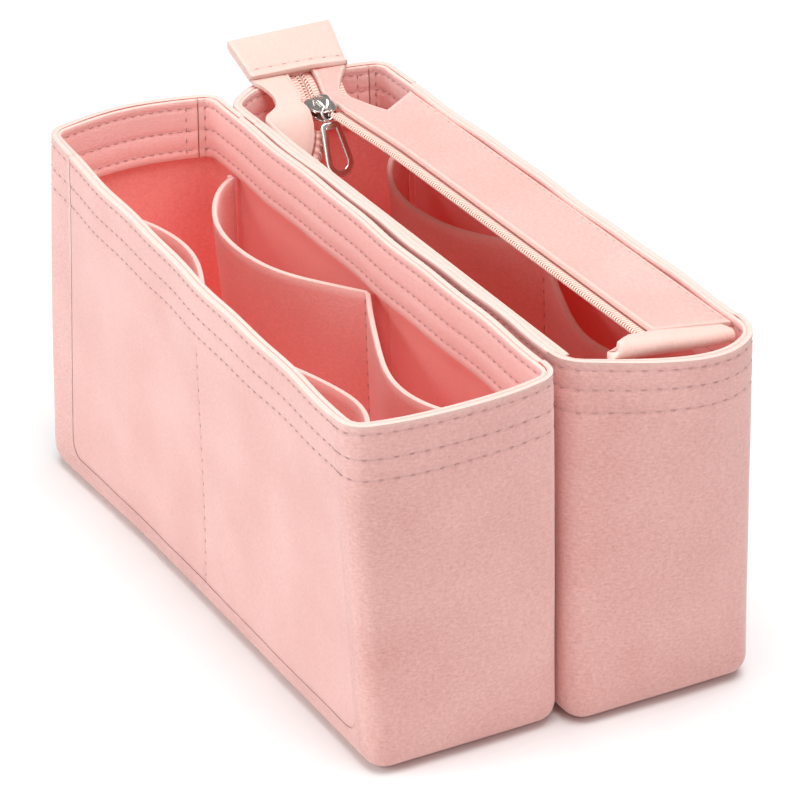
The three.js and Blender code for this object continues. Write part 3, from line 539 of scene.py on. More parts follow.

# Zip tape: cross ribs on the tape's own lay, one to each turn of the coil, and a painted shadow line at a
# fixed place across it, for the dark gap beside the felt's edge
tapeLook = {"deep": (0.66, 0.30, 0.26), "pale": (0.97, 0.66, 0.57), "ribs": 19.04, "ribHeight": 0.4,
            "gapShadowColour": (0.30, 0.07, 0.06), "gapShadowAt": 0.0350, "shadeLineNarrow": 170.0, "shadeLineDark": 0.95}
tapeFinish, skin, start = newFinish("zipTapeCloth", Roughness=0.8, Sheen_Weight=0.1)
lay = start.lay()
ribs = lay.node("ShaderNodeTexWave", {"wave_type": "BANDS", "bands_direction": "X"},
                {"Vector": lay, "Scale": tapeLook["ribs"]}, out=1)
row = lay.node("ShaderNodeSeparateXYZ", {}, {"Vector": lay}, out=1)
# painted shadow of the gap beside the felt's edge
gapShadowLine = tapeLook["shadeLineDark"] * ((row - tapeLook["gapShadowAt"]) * tapeLook["shadeLineNarrow"]).bell()
feed(skin, "Base Color", gapShadowLine.mix(ribs.mix(tapeLook["deep"], tapeLook["pale"]), tapeLook["gapShadowColour"]))
feed(skin, "Normal", start.bump(tapeLook["ribHeight"], 0.0002, ribs))

# Nickel plate: bright, with faint handling haze and small waves from polishing
metalLook = {"base": (0.88, 0.86, 0.83), "haze": (0.70, 0.68, 0.65), "hazeScale": 260, "leastRough": 0.08,
             "hazeRough": 0.22, "waveScale": 420, "waveHeight": 0.12}
metalFinish, skin, start = newFinish("nickelPlate", Metallic=1.0, Roughness=0.2)
place = start.objectPlace()
haze = place.noise(metalLook["hazeScale"], 3.0)
feed(skin, "Base Color", haze.mix(metalLook["base"], metalLook["haze"]))
feed(skin, "Roughness", metalLook["leastRough"] + metalLook["hazeRough"] * haze)
feed(skin, "Normal", start.bump(metalLook["waveHeight"], 0.0003, place.noise(metalLook["waveScale"])))
print("finishes ready")

# The gusset's radii at its edges (growing between two heights) and at the U's corners, how far its laps
# reach onto the long walls and stand proud of them, and its flat width in metres
gusset = {"edgeRadius": 7.5, "baseRadius": 9.6, "growth": (75, 8), "cornerRadius": 10.5, "farLap": 28,
          "baseLap": 14, "nearLap": 12, "lapCorner": 9, "lapWidth": 20.0, "proud": 0.2, "proudBy": 0.35,
          "step": 3.0, "flatWidth": 0.117}
armLength = rimHeight - gusset["cornerRadius"]
cornerArc = gusset["cornerRadius"] * math.pi / 2
baseLength = insert["length"] - 2 * gusset["cornerRadius"]
pathLength = 2 * (armLength + cornerArc) + baseLength
arcWidth = gusset["edgeRadius"] * math.pi / 2
flatHalf = halfWidth - gusset["edgeRadius"]


# The U that the gusset follows, as a table over its length: place, outward direction, and the place of
# the lap's edge. It runs down from the far rim, round a quarter circle, along the base and up again.
def uTable(straight=60, steps=25):
    r, lr = gusset["cornerRadius"], gusset["lapCorner"]
    farX, nearX = -halfLength + r, halfLength - r
    lapFarX, lapNearX = -halfLength + gusset["farLap"] + lr, halfLength - gusset["nearLap"] - lr
    lapZ = gusset["baseLap"] + lr
    a = np.linspace(0, math.pi / 2, steps)
    c, s = np.cos(math.pi + a), np.sin(math.pi + a)
    far = stacked(armLength + r * a, farX + r * c, r + r * s, c, s, lapFarX + lr * c, lapZ + lr * s)
    c, s = np.cos(1.5 * math.pi + a), np.sin(1.5 * math.pi + a)
    start = armLength + cornerArc + baseLength
    near = stacked(start + r * a, nearX + r * c, r + r * s, c, s, lapNearX + lr * c, lapZ + lr * s)
    down = [(d, farX - r, rimHeight - d, -1, 0, lapFarX - lr, rimHeight - d) for d in (0, straight)]
    rise = [(pathLength - d, nearX + r, rimHeight - d, 1, 0, lapNearX + lr, rimHeight - d)
            for d in (straight, 0)]
    return np.concatenate([down, far, near, rise])


uRows = uTable()


def alongU(u):
    return [np.interp(u, uRows[:, 0], uRows[:, k]) for k in range(1, 7)]


# The gusset's outer face: v is the length across. It is flat in the middle, a quarter circle at each
# edge, whose radius grows toward the base, and then runs straight to the lap's edge on the long wall.
def gussetSurface(u, v):
    x, z, outX, outZ, lapX, lapZ = alongU(u)
    growth = smoothStep(*gusset["growth"], z)
    radius = gusset["edgeRadius"] + (gusset["baseRadius"] - gusset["edgeRadius"]) * growth
    side, reach = np.sign(v), np.abs(v)
    turn = np.clip((reach - flatHalf) / gusset["edgeRadius"], 0, math.pi / 2)
    lap = np.clip((reach - flatHalf - arcWidth) / gusset["lapWidth"], 0, 1)
    depth = radius * (1 - np.cos(turn))
    y = side * (np.minimum(reach, flatHalf) / flatHalf * (halfWidth - radius) + radius * np.sin(turn)
                + gusset["proud"] * smoothStep(0, gusset["proudBy"], lap))
    px = (x - outX * depth) * (1 - lap) + lapX * lap
    pz = (z - outZ * depth) * (1 - lap) + lapZ * lap
    return stacked(px, y, pz)


# The long walls stop short of the lap's edge by the gap, and their rows are level from levelFrom up
wall = {"gap": 0.12, "levelFrom": 30, "columnStep": 3.2, "rowStep": 3.0, "flat": (0.26, 0.15)}
wallLow = gusset["baseLap"] - wall["gap"]


# A long wall's outer face: columns from the lap's edge up to the rim, whose lowest rows crowd down to
# the lap's curve
def panelSurface(side, u, h):
    _, _, outX, outZ, lapX, lapZ = alongU(u)
    bottom, level = lapZ - outZ * wall["gap"], wall["levelFrom"]
    z = np.where(h < level, bottom + (h - wallLow) * (level - bottom) / (level - wallLow), h)
    return stacked(lapX - outX * wall["gap"], np.full_like(z, side * halfWidth), z)


# The rim band, and where its two end seams stand from the joint
band = {"height": 29, "thickness": 1.95, "seat": 0.12, "jointShare": 0.93, "jointGap": 0.35, "step": 3.2,
        "startSeam": 5.5, "endSeam": 3.0, "pitch": 4.6}


# The band's loop in plan as a table over its length: it starts at the joint in the far end, and goes
# round four quarter circles of the corner radius.
def bandTable():
    inset = felt + band["seat"]
    r = gusset["edgeRadius"] - inset
    cx, cy = halfLength - inset - r, halfWidth - inset - r
    joint = cy * band["jointShare"]
    a = np.linspace(0, math.pi / 2, 7)
    parts = [[(-cx - r, joint - band["jointGap"] / 2)]]
    for ox, oy, first in ((-cx, -cy, math.pi), (cx, -cy, 1.5 * math.pi), (cx, cy, 0), (-cx, cy, math.pi / 2)):
        parts.append(stacked(ox + r * np.cos(first + a), oy + r * np.sin(first + a)))
    plan = np.concatenate(parts + [[(-cx - r, joint + band["jointGap"] / 2)]])
    length = np.concatenate([[0], np.cumsum(np.linalg.norm(np.diff(plan, axis=0), axis=1))])
    return length, plan


bandLength, bandPlan = bandTable()


def bandSurface(s, z):
    return stacked(np.interp(s, bandLength, bandPlan[:, 0]), np.interp(s, bandLength, bandPlan[:, 1]), z)


# The pocket strips: the far sewn line and the width of each, the bottom and the top, how far the top
# dips, how the fullness is spread, the steps of the mesh, and the row that the flat width is read on
pocket = {"thickness": 2.2, "farX": -124, "land": 3, "bottom": 7.8, "frontDip": 2, "backDip": 7,
          "skew": 0.7, "fullness": 0.42, "top": 134, "step": 2.6, "rows": 40, "crowding": 1.6,
          "bulge": 0.35, "widthRow": 30}


# A pocket strip's outer face, towards its wall: between the sewn lines it stands off by
# depth * sin(pi * share^skew) * height^fullness, and its top edge dips by a half sine.
def pocketSurface(side, x, h, place, depth, dip, top):
    farX, middle, nearX, land = pocket["farX"], place["pocketMiddle"], place["pocketNearX"], pocket["land"]
    farShare = np.clip((x - farX - land / 2) / (middle - farX - land), 0, 1)
    nearShare = np.clip((x - middle - land / 2) / (nearX - middle - land), 0, 1)
    share = np.where(x < middle, farShare, 1 - nearShare)
    sag = np.sin(math.pi * np.where(x < middle, farShare, nearShare))
    out = np.abs(np.sin(math.pi * share ** pocket["skew"]))
    away = np.where(x < middle, depth[0], depth[1]) * out * np.maximum(h, 0) ** pocket["fullness"]
    y = side * (halfWidth - felt - seat - pocket["thickness"] - away)
    return stacked(x, y, pocket["bottom"] + h * (top - dip * sag - pocket["bottom"]))


insertFelts = {"gusset": "wallFelt", "panel": "panelFelt", "band": "bandFelt", "pockets": "liningFelt"}


def makeInsert(key):
    place, body = inserts[key], key + "_insert"
    depths = list(place["seamDepths"])
    heights = [rimHeight - d for d in depths]
    threads, paleThreads = [], []

    def add(name, node, us, vs, surface, thickness, out, seams, flat, **more):
        piece = sheetPiece(key + name, us, vs, surface, thickness, out, seams, **more)
        settle(piece, felts[insertFelts[node.split("_")[-1]]], [f"{key}_{node}"], body)

    def sew(name, seams, startIn, endIn, **more):
        return [stitchPlaces(key + name, kind, at, a + startIn, b - endIn, **more)
                for kind, at, a, b in seams]

    lines = depths + [pathLength - d for d in depths]
    lapStart, reach = flatHalf + arcWidth, flatHalf + arcWidth + gusset["lapWidth"]
    us = stepsWith(0, pathLength, gusset["step"], lines)
    vs = np.concatenate([np.linspace(-reach, -lapStart, 8)[:-1], np.linspace(-lapStart, -flatHalf, 8)[:-1],
                         np.linspace(-flatHalf, flatHalf, 25)])
    vs = np.unique(np.round(np.concatenate([vs, -vs]), 4))
    seams = [("u", line, -reach, reach) for line in lines]
    add("Gusset", "gusset", us, vs, relax(gussetSurface(*grid(us, vs)), key), felt, -1, seams,
        (gusset["flatWidth"], pathLength / 1000), turned=True)
    threads += sew("Gusset", seams, 3, 3)

    first, last = armLength, pathLength - armLength
    middleU = armLength + cornerArc + place["wallSeam"] + halfLength - gusset["cornerRadius"]
    us = stepsWith(first, last, wall["columnStep"], [middleU])
    hs = stepsWith(wallLow, rimHeight, wall["rowStep"], heights)
    level = [("v", height, first, last) for height in heights]
    upright = [("u", middleU, wallLow, pocket["top"])]
    for side, word in ((-1, "front"), (1, "back")):
        name = word.capitalize() + "Wall"
        surface = relax(panelSurface(side, *grid(us, hs)), key)
        add(name, word + "_panel", us, hs, surface, felt, -side, level + upright, wall["flat"])
        threads += sew(name, level, 1, 1)
        paleThreads += sew(name, upright, 1, 1)

    end = bandLength[-1]
    ss = stepsWith(0, end, band["step"], [band["endSeam"], end - band["startSeam"]])
    zs = stepsWith(rimHeight - band["height"], rimHeight, band["step"], heights)
    seams = [("v", height, 0, end) for height in heights]
    seams += [("u", at, zs[0], zs[-1]) for at in (band["startSeam"], end - band["endSeam"])]
    add("RimBand", "rim_band", ss, zs, relax(bandSurface(*grid(ss, zs)), key), band["thickness"], 1, seams,
        (end / 1000, band["height"] / 1000), bothInside=1)
    threads += sew("RimBand", seams, 1.5, 1.5, side=-1, pitch=band["pitch"])

    lines = [pocket["farX"], place["pocketMiddle"], place["pocketNearX"]]
    margin = pocket["land"] / 2 + 1
    xs = stepsWith(lines[0] - margin, lines[-1] + margin, pocket["step"], lines)
    hs = np.linspace(0, 1, pocket["rows"]) ** pocket["crowding"]
    for side, word in ((-1, "front"), (1, "back")):
        name = word.capitalize() + "Pockets"
        top = place["frontTop"] if side < 0 else pocket["top"]
        surface = pocketSurface(side, *grid(xs, hs), place, place[word + "Depth"], pocket[word + "Dip"], top)
        surface = relax(surface, key)
        width = float(np.linalg.norm(np.diff(surface[:, pocket["widthRow"]], axis=0), axis=1).sum())
        height = top - pocket["bottom"]
        seams = [("u", x, 0, height) for x in lines]
        add(name, word + "_pockets", xs, hs * height, surface, pocket["thickness"], -side, seams,
            (width / 1000, height / 1000), bulge=pocket["bulge"], bothInside=1)
        threads += sew(name, seams, 2, 1, side=-1)

    putStitches(key + "Stitches", threads, threadFinish, body, stitch["radius"])
    putStitches(key + "WallStitches", paleThreads, paleThread, body, stitch["fineRadius"])
    print(key, "insert made")


for key in inserts:
    makeInsert(key)

# The zip cover, worked out level and closed, in the zip insert's own millimetres
zipLine = {"y": -7.9, "coilGap": 0.3, "coil": 2.4, "farX": -125.4, "farZ": 159, "rise": 5.5 / 250,
           "tape": 0.8, "tapeWidth": 15.6, "tapeInset": 0.55, "tapeStep": 2.6, "tapeRows": 8, "tapeBulge": 0.15,
           "lean": (0.2, 1.0)}
coilRadius = zipLine["coil"] / 2
coilOffset = zipLine["coilGap"] / 2 + coilRadius
overTape = zipLine["tape"] / 2 + seat + felt
# The closed stretch climbs from rampX to the far tab, the line steps aside between asideIn and comes back
# between asideOut, the cover is level beyond levelFrom, and the left margin opens between marginIn
stretch = {"farX": -149.6, "rampX": -132.5, "climb": 5.7, "aside": -2.2, "asideIn": (-147, -131),
           "asideOut": (-118, -62), "levelFrom": (-112, -132), "marginIn": (-137, -131.5)}
flaps = {
    "right": {"side": 1, "wall": 32.55, "skew": 0.0169, "hingeZ": 161.2, "margin": 3.4},
    "left": {"side": -1, "wall": -39.55, "skew": 0.0167, "hingeZ": 162.2, "margin": 6.6, "chainMargin": 3.6},
}
# How the left flap hangs: from startX to endX it turns down to its open angle about the hinge
droop = {"startX": -122.0, "endX": -90.0, "angle": 84.0}
hingePlace = np.array([4.0, 48.95, 162.2])
hingeAxis = np.array([0.999861, 0.016698, 0.0])


# The zip line's height: a straight slope along the cover
def zipHeight(x):
    return zipLine["farZ"] + zipLine["rise"] * (x - zipLine["farX"])


# The climb of the closed stretch: height * s^2 (2 - s)
def climbAt(x):
    s = np.maximum(0, (stretch["rampX"] - x) / (stretch["rampX"] - stretch["farX"]))
    return stretch["climb"] * s * s * (2 - s)


# The step aside, where the line passes through the slider: one smooth step in and a longer one back
def zipShift(x):
    back = smoothStep(*stretch["asideOut"], x)
    return stretch["aside"] * smoothStep(*stretch["asideIn"], x) * (1 - back)


# The felt's edge beside the coil. The left one stays straight and stands closer along the chain.
def zipEdge(flap, x):
    margin, shift = flap["margin"], zipShift(x)
    if "chainMargin" in flap:
        opened = smoothStep(*stretch["marginIn"], x)
        margin = flap["chainMargin"] + (margin - flap["chainMargin"]) * opened
        shift = 0
    return zipLine["y"] + shift + flap["side"] * (coilOffset + coilRadius + margin)


# The cover's upper face: a straight slope from the hinge to the zip line, which turns level toward the
# far tab and climbs there with the closed stretch
def coverTop(flap, x, y):
    wallY = flap["wall"] + flap["skew"] * x
    across = (y - wallY) / (zipEdge(flap, x) - wallY)
    atWall = flap["hingeZ"] + felt / 2
    level = zipHeight(x) + overTape
    far = smoothStep(*stretch["levelFrom"], x)
    return (atWall + across * (level - atWall)) * (1 - far) + level * far + climbAt(x)


# Turns points about the left flap's hinge line, each by its own share of the open angle
def hang(points):
    w = smoothStep(droop["startX"], droop["endX"], points[..., 0])
    angle = -np.radians(droop["angle"]) * w[..., None]
    arm = points - hingePlace
    along = (arm @ hingeAxis)[..., None] * hingeAxis
    return (hingePlace + along + (arm - along) * np.cos(angle)
            + np.cross(hingeAxis, arm) * np.sin(angle))


# The outer edges of the narrow strips that run from the flaps to the far tab
strips = {
    "rightOuter": [(-152, 15.8), (-149.6, 15.2), (-144, 10.2), (-138, 5.6), (-132.5, 3.7), (-126, 4.2),
                   (-118.7, 6.2), (-111, 8.8), (-104, 11.6)],
    "leftOuter": [(-152, -31.6), (-149.6, -31.2), (-145, -28.3), (-139.5, -26.6), (-134, -28.2),
                  (-129.5, -32.2), (-126, -36.6), (-121.5, -40.2), (-116, -41.5)],
}
# Where the strips end and the flaps begin, the right flap's slanted far edge, the left flap's near end at
# its free edge and at the wall, and the mesh's own lengths
cover = {"farX": -151.8, "flapX": -104, "nearX": 141, "edgeY": 11.6, "slant": 13.0, "rowWidth": 14,
         "leftFlapX": -116, "leftNearX": 107, "leftWallX": 134, "leftLength": 283, "leftWidth": 23,
         "dimple": 0.25, "seamFrom": -152, "stitches": (-96, 140)}

# Right cover: the strip's columns come first, and the flap's begin at its slanted far edge
flap = flaps["right"]
stripRows = np.linspace(0, 1, 7)
coverRows = np.concatenate([stripRows, 1 + np.linspace(0, 1, 12)[1:]])
stripColumns = np.linspace(cover["farX"], cover["flapX"], 25)
flapSteps = np.linspace(0, 1, 84)[1:]
count, n, m = len(stripColumns), len(stripColumns) + len(flapSteps), len(coverRows)
columnPlace = np.concatenate([stripColumns, cover["flapX"] + flapSteps * (cover["nearX"] - cover["flapX"])])
rowPlace = coverRows * cover["rowWidth"]
outer = np.full(n, cover["edgeY"])
outer[:count] = curveThrough(strips["rightOuter"], stripColumns)
inner = zipEdge(flap, columnPlace)
gridX, gridY = np.zeros((n, m)), np.zeros((n, m))
for j, row in enumerate(coverRows):
    xs, ys = columnPlace, inner + row * (outer - inner)
    if row > 1:
        farX = cover["flapX"] - cover["slant"] * (row - 1)
        xs = np.concatenate([np.full(count, farX), farX + flapSteps * (cover["nearX"] - farX)])
        ys = cover["edgeY"] + (row - 1) * (flap["wall"] + flap["skew"] * xs - cover["edgeY"])
    gridX[:, j], gridY[:, j] = xs, ys
top = stacked(gridX, gridY, coverTop(flap, gridX, gridY)) + zipCentre
stripEnd, stripSide = count - 1, len(stripRows) - 1
keep = np.ones((n - 1, m - 1), bool)
keep[:stripEnd, stripSide:] = False
index = np.arange(n * m).reshape(n, m)
loop = np.concatenate([index[:-1, 0], index[-1, :-1], index[n - 1:stripEnd:-1, -1],
                       index[stripEnd, m - 1:stripSide:-1], index[stripEnd:0:-1, stripSide],
                       index[0, stripSide:0:-1]])
rightCover = sheetPiece("rightCover", columnPlace, rowPlace, top, felt, 1,
                        [("v", rowPlace[1], cover["seamFrom"], cover["nearX"])], keep, loop,
                        dimple=cover["dimple"])
settle(rightCover, felts["coverFelt"], ["right_flap", "far_right_strip"])
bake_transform(rightCover)
putStitches("coverStitches", [stitchPlaces("rightCover", "v", rowPlace[-2], *cover["stitches"])],
            paleThread, "right_flap_body", stitch["fineRadius"])

# Left cover: one sheet from the far tab to its near end, which hangs down inside the front wall
flap = flaps["left"]
along, rows = np.linspace(0, 1, 100), np.linspace(0, 1, 15)
gridS, gridT = grid(along, rows)
nearX = cover["leftNearX"] + gridT * (cover["leftWallX"] - cover["leftNearX"])
gridX = cover["farX"] + gridS * (nearX - cover["farX"])
inner, outer = zipEdge(flap, gridX), flap["wall"] + flap["skew"] * gridX
outer = np.where(gridX < cover["leftFlapX"], curveThrough(strips["leftOuter"], gridX), outer)
gridY = inner + gridT * (outer - inner)
top = hang(stacked(gridX, gridY, coverTop(flap, gridX, gridY)) + zipCentre)
along, rows = along * cover["leftLength"], rows * cover["leftWidth"]
leftCover = sheetPiece("leftCover", along, rows, top, felt, -1, [("v", rows[1], 0, cover["leftLength"])],
                       dimple=cover["dimple"])
# the left cover takes the tabs' paler felt: painted light
settle(leftCover, felts["paleLitTabFelt"], ["left_flap", "far_left_strip"])
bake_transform(leftCover)
print("cover made")


# Zip tapes: from the coil out under the flap, where they lie one felt below its upper face. The height
# passes from the coil's middle to there by a smooth step of the way to the felt's edge.
def makeTape(name, flap, x0, x1, node, body=None):
    side = flap["side"]
    xs = np.linspace(x0, x1, int((x1 - x0) / zipLine["tapeStep"]))
    ys = np.linspace(0, zipLine["tapeWidth"], zipLine["tapeRows"])
    gridX, gridW = grid(xs, ys)
    inner = zipLine["y"] + zipShift(gridX) + side * (coilOffset + coilRadius * zipLine["tapeInset"])
    gridY = inner + side * gridW
    under = coverTop(flap, gridX, gridY) - felt - seat
    level = zipHeight(gridX) + climbAt(gridX) + zipLine["tape"] / 2
    lean = smoothStep(*zipLine["lean"], gridW / np.abs(zipEdge(flap, gridX) - inner))
    top = stacked(gridX, gridY, level * (1 - lean) + under * lean) + zipCentre
    top = hang(top) if side < 0 else top
    piece = sheetPiece(name, xs, ys, top, zipLine["tape"], side, bulge=zipLine["tapeBulge"])
    settle(piece, tapeFinish, [node], body)
    return piece


# The helix of a coil's thread and the flattened core inside it, as half sizes
coil = {"pitch": 1.65, "wide": 0.9, "high": 0.8, "thread": 0.4, "perTurn": 12, "sides": 5,
        "coreWide": 0.62, "coreHigh": 0.5, "coreStep": 2.5, "coreSides": 6}


# A line along one side of the zip, set off beside and above it, and hung with the left flap
def besideZip(side, x, beside, above):
    y = zipLine["y"] + zipShift(x) + side * (coilOffset + beside)
    path = stacked(x, y, zipHeight(x) + climbAt(x) + above) + zipCentre
    return hang(path) if side < 0 else path


# A zip coil: a thread that winds round the line as a helix, wider than high, once every pitch
def makeCoil(name, side, x0, x1):
    angle = np.arange(int((x1 - x0) / coil["pitch"] * coil["perTurn"])) * 2 * math.pi / coil["perTurn"]
    x = x0 + angle / (2 * math.pi) * coil["pitch"]
    path = besideZip(side, x, coil["wide"] * np.cos(angle), coil["high"] * np.sin(angle))
    thread = barPiece(name, path, (1, 0, 0), coil["thread"], coil["thread"], coil["sides"])
    line = besideZip(side, np.arange(x0, x1, coil["coreStep"]), 0, 0)
    core = barPiece(name + "Core", line, (0, 0, 1), coil["coreWide"], coil["coreHigh"], coil["coreSides"])
    thread.data.materials.append(coilFinish)
    # the core's dark colour is painted shade between the coil's turns
    core.data.materials.append(coreShadeFinish)
    return joined(name, [thread, core])


makeTape("rightTape", flaps["right"], -117.6, 140.5, "right_tape", "right_flap_body")
leftTape = makeTape("leftTape", flaps["left"], -117.6, 91.5, "left_tape")
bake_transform(leftTape)
makeTape("farRightTape", flaps["right"], -152.2, -125.0, "far_right_tape", "zip_insert")
makeTape("farLeftTape", flaps["left"], -152.2, -125.0, "far_left_tape", "zip_insert")
settle(makeCoil("rightCoil", 1, -117.7, 140.5), None, ["right_coil"], "right_flap_body")
leftCoil = settle(makeCoil("leftCoil", -1, -117.7, 91.0), None, ["left_coil"])
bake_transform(leftCoil)
chains = [makeCoil("farChain", 1, -151.6, -125.2), makeCoil("farChainLeft", -1, -151.6, -125.2)]
settle(joined("farChain", chains), None, ["far_chain"], "zip_insert")
print("tapes and coils made")

# Tabs: felt folded over at the nose, with two layers. Roots and noses are places along the zip insert,
# fronts and backs across it; lowerOut is how far the lower layer shows beyond the upper one in front.
tabs = {
    "far": {
        "rootX": -149.8, "rootSkew": 1.8, "lowerRootX": -152.6, "noseX": -175.2, "noseBackX": -175.2,
        "bow": 0.0, "front": -32, "noseFront": -32, "lowerOut": 0.0, "back": 15.2, "noseBack": 19.5,
        "topZ": 169.9, "rise": 8.7, "slope": 0.09, "frontSlope": 0.0, "levelNose": 1.0,
        "thick": (4.9, 4.9), "out": -1, "seamRow": 2,
    },
    "near": {
        "rootX": 141.1, "rootSkew": 0.0, "lowerRootX": 142.0, "noseX": 149.4, "noseBackX": 148.8,
        "bow": 3.0, "front": -14, "noseFront": -21.5, "lowerOut": 4.5, "back": 30.6, "noseBack": 32.4,
        "topZ": 168.05, "rise": 0.0, "slope": 0.168, "frontSlope": 0.085, "levelNose": 0.0,
        "thick": (7.8, 5.6), "out": 1, "seamRow": 1,
    },
}
# Where along the section the fold starts and ends, its steps, and the gap left between the layers
fold = {"start": 0.4, "end": 0.6, "steps": (12, 13, 12), "columns": 24, "lowerFrom": 0.42,
        "layerGap": 0.06, "dimple": 0.2, "stitches": (1, 47)}


# A tab's outer face: a hairpin section (upper layer, half circle at the nose, lower layer) carried
# across. q runs from 0 at the upper root to 1 at the lower root. Its top follows the cover's slope, and
# its ends run out askew from the root to the nose.
def tabSurface(tab, q, across):
    nose = tab["noseX"] + across * (tab["noseBackX"] - tab["noseX"])
    nose = nose + tab["bow"] * (1 - (2 * across - 1) ** 2)
    direction = math.copysign(1, tab["noseX"] - tab["rootX"])
    radius = (tab["thick"][0] + across * (tab["thick"][1] - tab["thick"][0])) / 2
    turn = np.clip((q - fold["start"]) / (fold["end"] - fold["start"]), 0, 1) * math.pi
    run = np.where(q < 0.5, np.clip(q / fold["start"], 0, 1), np.clip((1 - q) / (1 - fold["end"]), 0, 1))
    lower = tab["lowerOut"] * smoothStep(fold["lowerFrom"], fold["end"], q)
    front = tab["front"] + run * (tab["noseFront"] - tab["front"]) - lower
    back = tab["back"] + run * (tab["noseBack"] - tab["back"])
    y = front + across * (back - front)
    root = np.where(q < 0.5, tab["rootX"], tab["lowerRootX"]) + across * tab["rootSkew"]
    bendX = nose - direction * radius
    bent = (turn > 0) & (turn < math.pi)
    x = np.where(bent, bendX + direction * radius * np.sin(turn), root + run * (bendX - root))
    share = np.abs(x - tab["rootX"]) / np.abs(nose - tab["rootX"])
    side = y - zipEdge(flaps["right"], 0)
    fall = np.where(side > 0, tab["slope"], tab["frontSlope"]) * side
    top = tab["topZ"] - fall * (1 - tab["levelNose"] * np.clip(share, 0, 1))
    return stacked(x, y, top + share * tab["rise"] - radius + radius * np.cos(turn)) + zipCentre


def makeTab(name, tab, node):
    bends = (0, fold["start"], fold["end"], 1)
    parts = [np.linspace(a, b, steps) for a, b, steps in zip(bends, bends[1:], fold["steps"])]
    q = np.unique(np.concatenate(parts))
    across = np.linspace(0, 1, fold["columns"])
    gridQ, gridA = grid(q, across)
    width, reach = tab["back"] - tab["front"], 2 * abs(tab["noseX"] - tab["rootX"])
    layer = (tab["thick"][0] + gridA * (tab["thick"][1] - tab["thick"][0])) / 2 - fold["layerGap"]
    seam = ("u", q[tab["seamRow"]] * reach, 0, width)
    piece = sheetPiece(name, q * reach, across * width, tabSurface(tab, gridQ, gridA), layer,
                       tab["out"], [seam], dimple=fold["dimple"])
    # the tabs' paler felt is painted light
    settle(piece, felts["paleLitTabFelt"], [node])
    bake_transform(piece)


makeTab("farTab", tabs["far"], "far_tab")
makeTab("nearTab", tabs["near"], "near_tab")
tabRow = cloths["farTab"]["us"][tabs["far"]["seamRow"]]
putStitches("tabStitches", [stitchPlaces("farTab", "u", tabRow, *fold["stitches"])], paleThread,
            "far_tab_body", stitch["fineRadius"])
print("tabs made")

# The slider's place on the line, its plates, walls and post, and the shield outline of its plates
sliderSizes = {"aside": -2.2, "forward": 0.6, "tilt": 3, "plateTop": 2.6, "plate": 0.8,
               "halfLength": 7.4, "endStep": 7.1, "halfWidth": 6.4, "crown": 0.35, "lip": 0.25,
               "bulge": 0.22, "walls": (-5.4, 4.0, 9), "wallIn": 0.45, "wallZ": 1.3,
               "wallSize": (0.32, 0.5), "post": (4.2, 1.1, 1.5), "postSize": (0.7, 1.3)}
shield = [(-7.4, 5.0), (-6.3, 6.0), (-3.2, 6.4), (0.0, 6.4), (2.8, 5.9), (5.2, 4.7), (6.8, 3.3), (7.4, 2.3)]
# The pull's hinge and slope, its ring, and the long loop from the eye to the tip
pullSizes = {"pivotX": 5.4, "pivotY": -1.0, "pivotUp": 1.2, "slope": 56, "ring": 2.6,
             "ringStretch": 1.12, "ringWire": 1.2, "loopLength": 25, "tipWidth": 13.8, "eyeWidth": 10.4,
             "eyeRound": 1.2, "bar": 3.2, "thick": 1.1, "flatness": 3.2}


def turnY(angle):
    c, s = math.cos(angle), math.sin(angle)
    return np.array([[c, 0, s], [0, 1, 0], [-s, 0, c]])


sliderX = zipLine["farX"] + sliderSizes["forward"]
sliderPlace = zipCentre + np.array([sliderX, zipLine["y"] + sliderSizes["aside"], zipHeight(sliderX)])
sliderTurn = turnY(math.radians(sliderSizes["tilt"]))
pullTurn = sliderTurn @ turnY(math.radians(pullSizes["slope"]))
pivot = (pullSizes["pivotX"], pullSizes["pivotY"], sliderSizes["plateTop"] + pullSizes["pivotUp"])
pullPlace = sliderPlace + sliderTurn @ np.array(pivot)


def onSlider(points):
    return points @ sliderTurn.T + sliderPlace


# A bar of the slider, from a path and an upward direction in the slider's own frame
def sliderBar(name, path, above, size, sides=12, flatness=2.0):
    return barPiece(name, onSlider(path), sliderTurn @ above, *size, sides, False, flatness)


# Two plates, widest in the middle and narrow at the near end, slightly crowned with the lips drawn in.
# Short walls run along their sides, and a post joins them at the near end.
half, endStep = sliderSizes["halfLength"], sliderSizes["endStep"]
xs = np.unique(np.concatenate([np.linspace(-half, half, 22), [-endStep, endStep]]))
shares = np.linspace(-1, 1, 13)
gridX, gridS = grid(xs, shares)
crown = sliderSizes["crown"] * (1 - gridS**2) * (1 - (gridX / half) ** 2)
crown = crown - sliderSizes["lip"] * np.abs(gridS) ** 5
plates = []
for up in (1, -1):
    plate = stacked(gridX, gridS * curveThrough(shield, gridX), up * (sliderSizes["plateTop"] + crown))
    plates.append(sheetPiece(f"sliderPlate{up}", xs, shares * sliderSizes["halfWidth"], onSlider(plate),
                             sliderSizes["plate"], up, bulge=sliderSizes["bulge"]))
run = np.linspace(*sliderSizes["walls"])
reach = curveThrough(shield, run) - sliderSizes["wallIn"]
for aside in (-1, 1):
    for up in (-1, 1):
        path = stacked(run, aside * reach, np.full_like(run, up * sliderSizes["wallZ"]))
        plates.append(sliderBar(f"sliderWall{aside}{up}", path, [0, 0, 1], sliderSizes["wallSize"], 8))
postX, postY, postZ = sliderSizes["post"]
post = np.linspace((postX, postY, -postZ), (postX, postY, postZ), 5)
plates.append(sliderBar("sliderPost", post, [1, 0, 0], sliderSizes["postSize"]))
settle(joined("sliderBody", plates), metalFinish, ["slider_body"], "slider")

